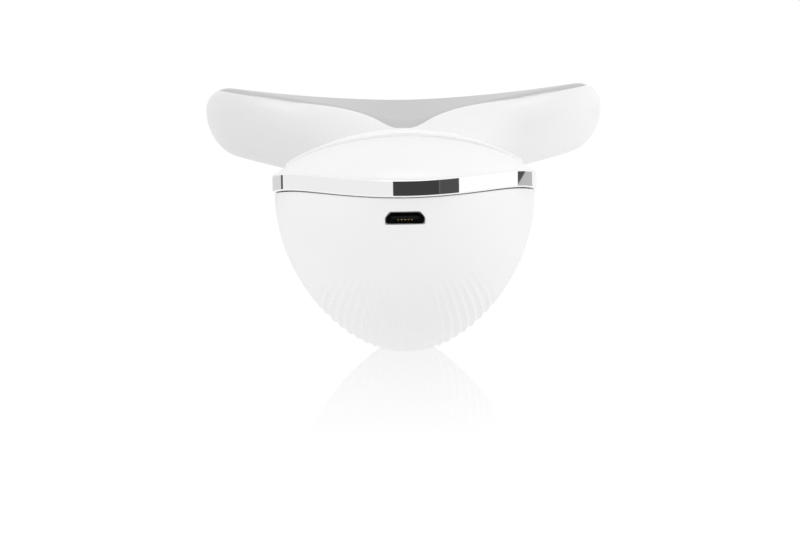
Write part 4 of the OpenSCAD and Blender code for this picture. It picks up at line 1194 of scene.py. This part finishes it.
def make_table():
    """White table: the camera sees it mirror, and for all other rays it only shines."""
    bm = bmesh.new()
    bmesh.ops.create_grid(bm, x_segments=1, y_segments=1, size=TABLE_HALF)
    table = to_object(bm, "table")
    mat, tree, shader = blank("table_white")
    link = tree.links.new
    shader.inputs["Base Color"].default_value = (TABLE_LIT, TABLE_LIT, TABLE_LIT, 1)
    shader.inputs["Roughness"].default_value = 0.9
    shader.inputs["Specular IOR Level"].default_value = 0
    glow = add(tree, "Emission", Color=WHITE, Strength=TABLE_GLOW)
    lit = add(tree, "AddShader")
    link(shader.outputs["BSDF"], lit.inputs[0])
    link(glow.outputs["Emission"], lit.inputs[1])
    mirror = add(tree, "BsdfGlossy", Color=WHITE, Roughness=TABLE_BLUR)
    seen = add(tree, "MixShader")
    link(fade(tree), seen.inputs["Fac"])
    link(lit.outputs["Shader"], seen.inputs[1])
    link(mirror.outputs["BSDF"], seen.inputs[2])
    bounce = add(tree, "Emission", Strength=TABLE_BOUNCE)
    pick = add(tree, "MixShader")
    link(add(tree, "LightPath").outputs["Is Camera Ray"], pick.inputs["Fac"])
    link(bounce.outputs["Emission"], pick.inputs[1])
    link(seen.outputs["Shader"], pick.inputs[2])
    link(pick.outputs["Shader"], tree.nodes["Material Output"].inputs["Surface"])
    table.data.materials.append(mat)


def shining(bm, name, tone):
    """An object of one even tone that the camera and shadow rays don't meet."""
    obj = to_object(bm, name)
    mat, tree, _ = blank(name)
    glow = add(tree, "Emission", Color=(tone, tone, tone, 1))
    tree.links.new(glow.outputs["Emission"], tree.nodes["Material Output"].inputs["Surface"])
    obj.data.materials.append(mat)
    obj.visible_camera = False
    obj.visible_shadow = False
    return obj


def make_card(name, tone, start, end, low=0.002, high=0.06, reach=REACH, taper=0.0):
    """An upright bent card round the object, seen only in reflections.

    start and end are degrees from -Y; taper lifts its lower edge toward its end.
    """
    rows = [[], []]
    for k in range(CARD_STEPS + 1):
        a = math.radians(mix(start, end, k / CARD_STEPS))
        for row, z in zip(rows, (mix(low, low + taper, k / CARD_STEPS), high)):
            row.append(Vector((reach * math.sin(a), -reach * math.cos(a), z)))
    bm = bmesh.new()
    bent_grid(bm, rows, closed=False)
    card = shining(bm, name, tone)
    card.visible_diffuse = False
    card.visible_transmission = False


def make_shade(name, tone, ends_x, ends_y, height=0.0005):
    """A level grey sheet that only dims the soft light from its side."""
    bm = bmesh.new()
    bent_grid(bm, [[Vector((x, y, height)) for x in ends_x] for y in ends_y], closed=False)
    shade = shining(bm, name, tone)
    shade.visible_glossy = False


def make_lamp(name, place_at, power, mirrored=False):
    """A square lamp that looks at the object; glossy faces show it only if mirrored."""
    data = bpy.data.lights.new(name, "AREA")
    data.shape = "RECTANGLE"
    data.size = data.size_y = LAMP_SIDE
    data.energy = power
    lamp = bpy.data.objects.new(name, data)
    lamp.location = place_at
    lamp.visible_glossy = mirrored
    lamp.rotation_euler = (LAMP_AIM - Vector(place_at)).to_track_quat("-Z", "Y").to_euler()
    bpy.context.scene.collection.objects.link(lamp)


def make_world(fill, shown):
    """A white studio: fill lights the pieces, shown is what eyes and mirrors see of it."""
    world = bpy.data.worlds.new("studio")
    world.use_nodes = True
    tree = world.node_tree
    back = tree.nodes["Background"]
    back.inputs["Color"].default_value = WHITE
    pick = add(tree, "MapRange", To_Min=shown, To_Max=fill)
    tree.links.new(add(tree, "LightPath").outputs["Is Diffuse Ray"], pick.inputs["Value"])
    tree.links.new(pick.outputs["Result"], back.inputs["Strength"])
    bpy.context.scene.world = world


def make_camera():
    data = bpy.data.cameras.new("camera")
    data.sensor_width = SENSOR
    data.lens = SENSOR * FOCAL_PX / WIDTH_PX
    data.clip_start = 0.05
    camera = bpy.data.objects.new("camera", data)
    camera.location = (0, CAMERA_Y, CAMERA_Z)
    look = Vector((0, math.cos(PITCH), -math.sin(PITCH)))
    turn = look.to_track_quat("-Z", "Y").to_matrix().to_4x4()
    camera.rotation_euler = (turn @ Matrix.Rotation(ROLL, 4, "Z")).to_euler()
    data.shift_x = SHIFT_PX / WIDTH_PX
    bpy.context.scene.collection.objects.link(camera)
    bpy.context.scene.camera = camera


make_rear_shell()
make_front_cover()
make_band()
make_inner_frame()
make_panel()
make_keys()
make_lenses()
make_head()
make_plate()
make_gasket()
make_port()
finish_inner()
soften_returns()

make_table()
make_card("card_dark", 0.05, -9, 27)
make_card("card_streak", 0.12, 27, 28)
make_card("card_dark_side", 0.078, 28, 44)
make_card("card_white", 1.04, 44, 111)
make_card("card_grey", 0.88, -126, -9)
make_card("card_left", 0.09, -131.5, -127, high=0.028)
make_card("card_left_end", 0.7, -178, -131.5, high=0.028)
make_card("card_right_end", 0.5, 111, 143, high=0.028)
make_card("card_corner", 0.08, 111, 125, low=0.0183, high=0.04, reach=REACH - 0.005, taper=0.0026)
make_shade("shade_left", 0.62, (-0.10, -0.025), (0.0, 0.14))
make_shade("shade_over_left", 0.05, (-0.16, -0.041), (0.0, 0.045), height=0.08)
make_shade("shade_over_right", 0.6, (0.03, 0.10), (0.0, 0.045), height=0.08)
make_world(0.88, 1.0)
make_lamp("lamp_right", (0.77, 0.0, 0.24), 1.1)
make_lamp("lamp_left", (-0.77, 0.0, 0.24), 0.65)
make_lamp("lamp_front", (0, -0.78, 0.19), 0.48)
make_lamp("lamp_top", (0, -0.05, 0.83), 0.7, mirrored=True)
make_camera()
bpy.context.scene.view_settings.view_transform = "Standard"
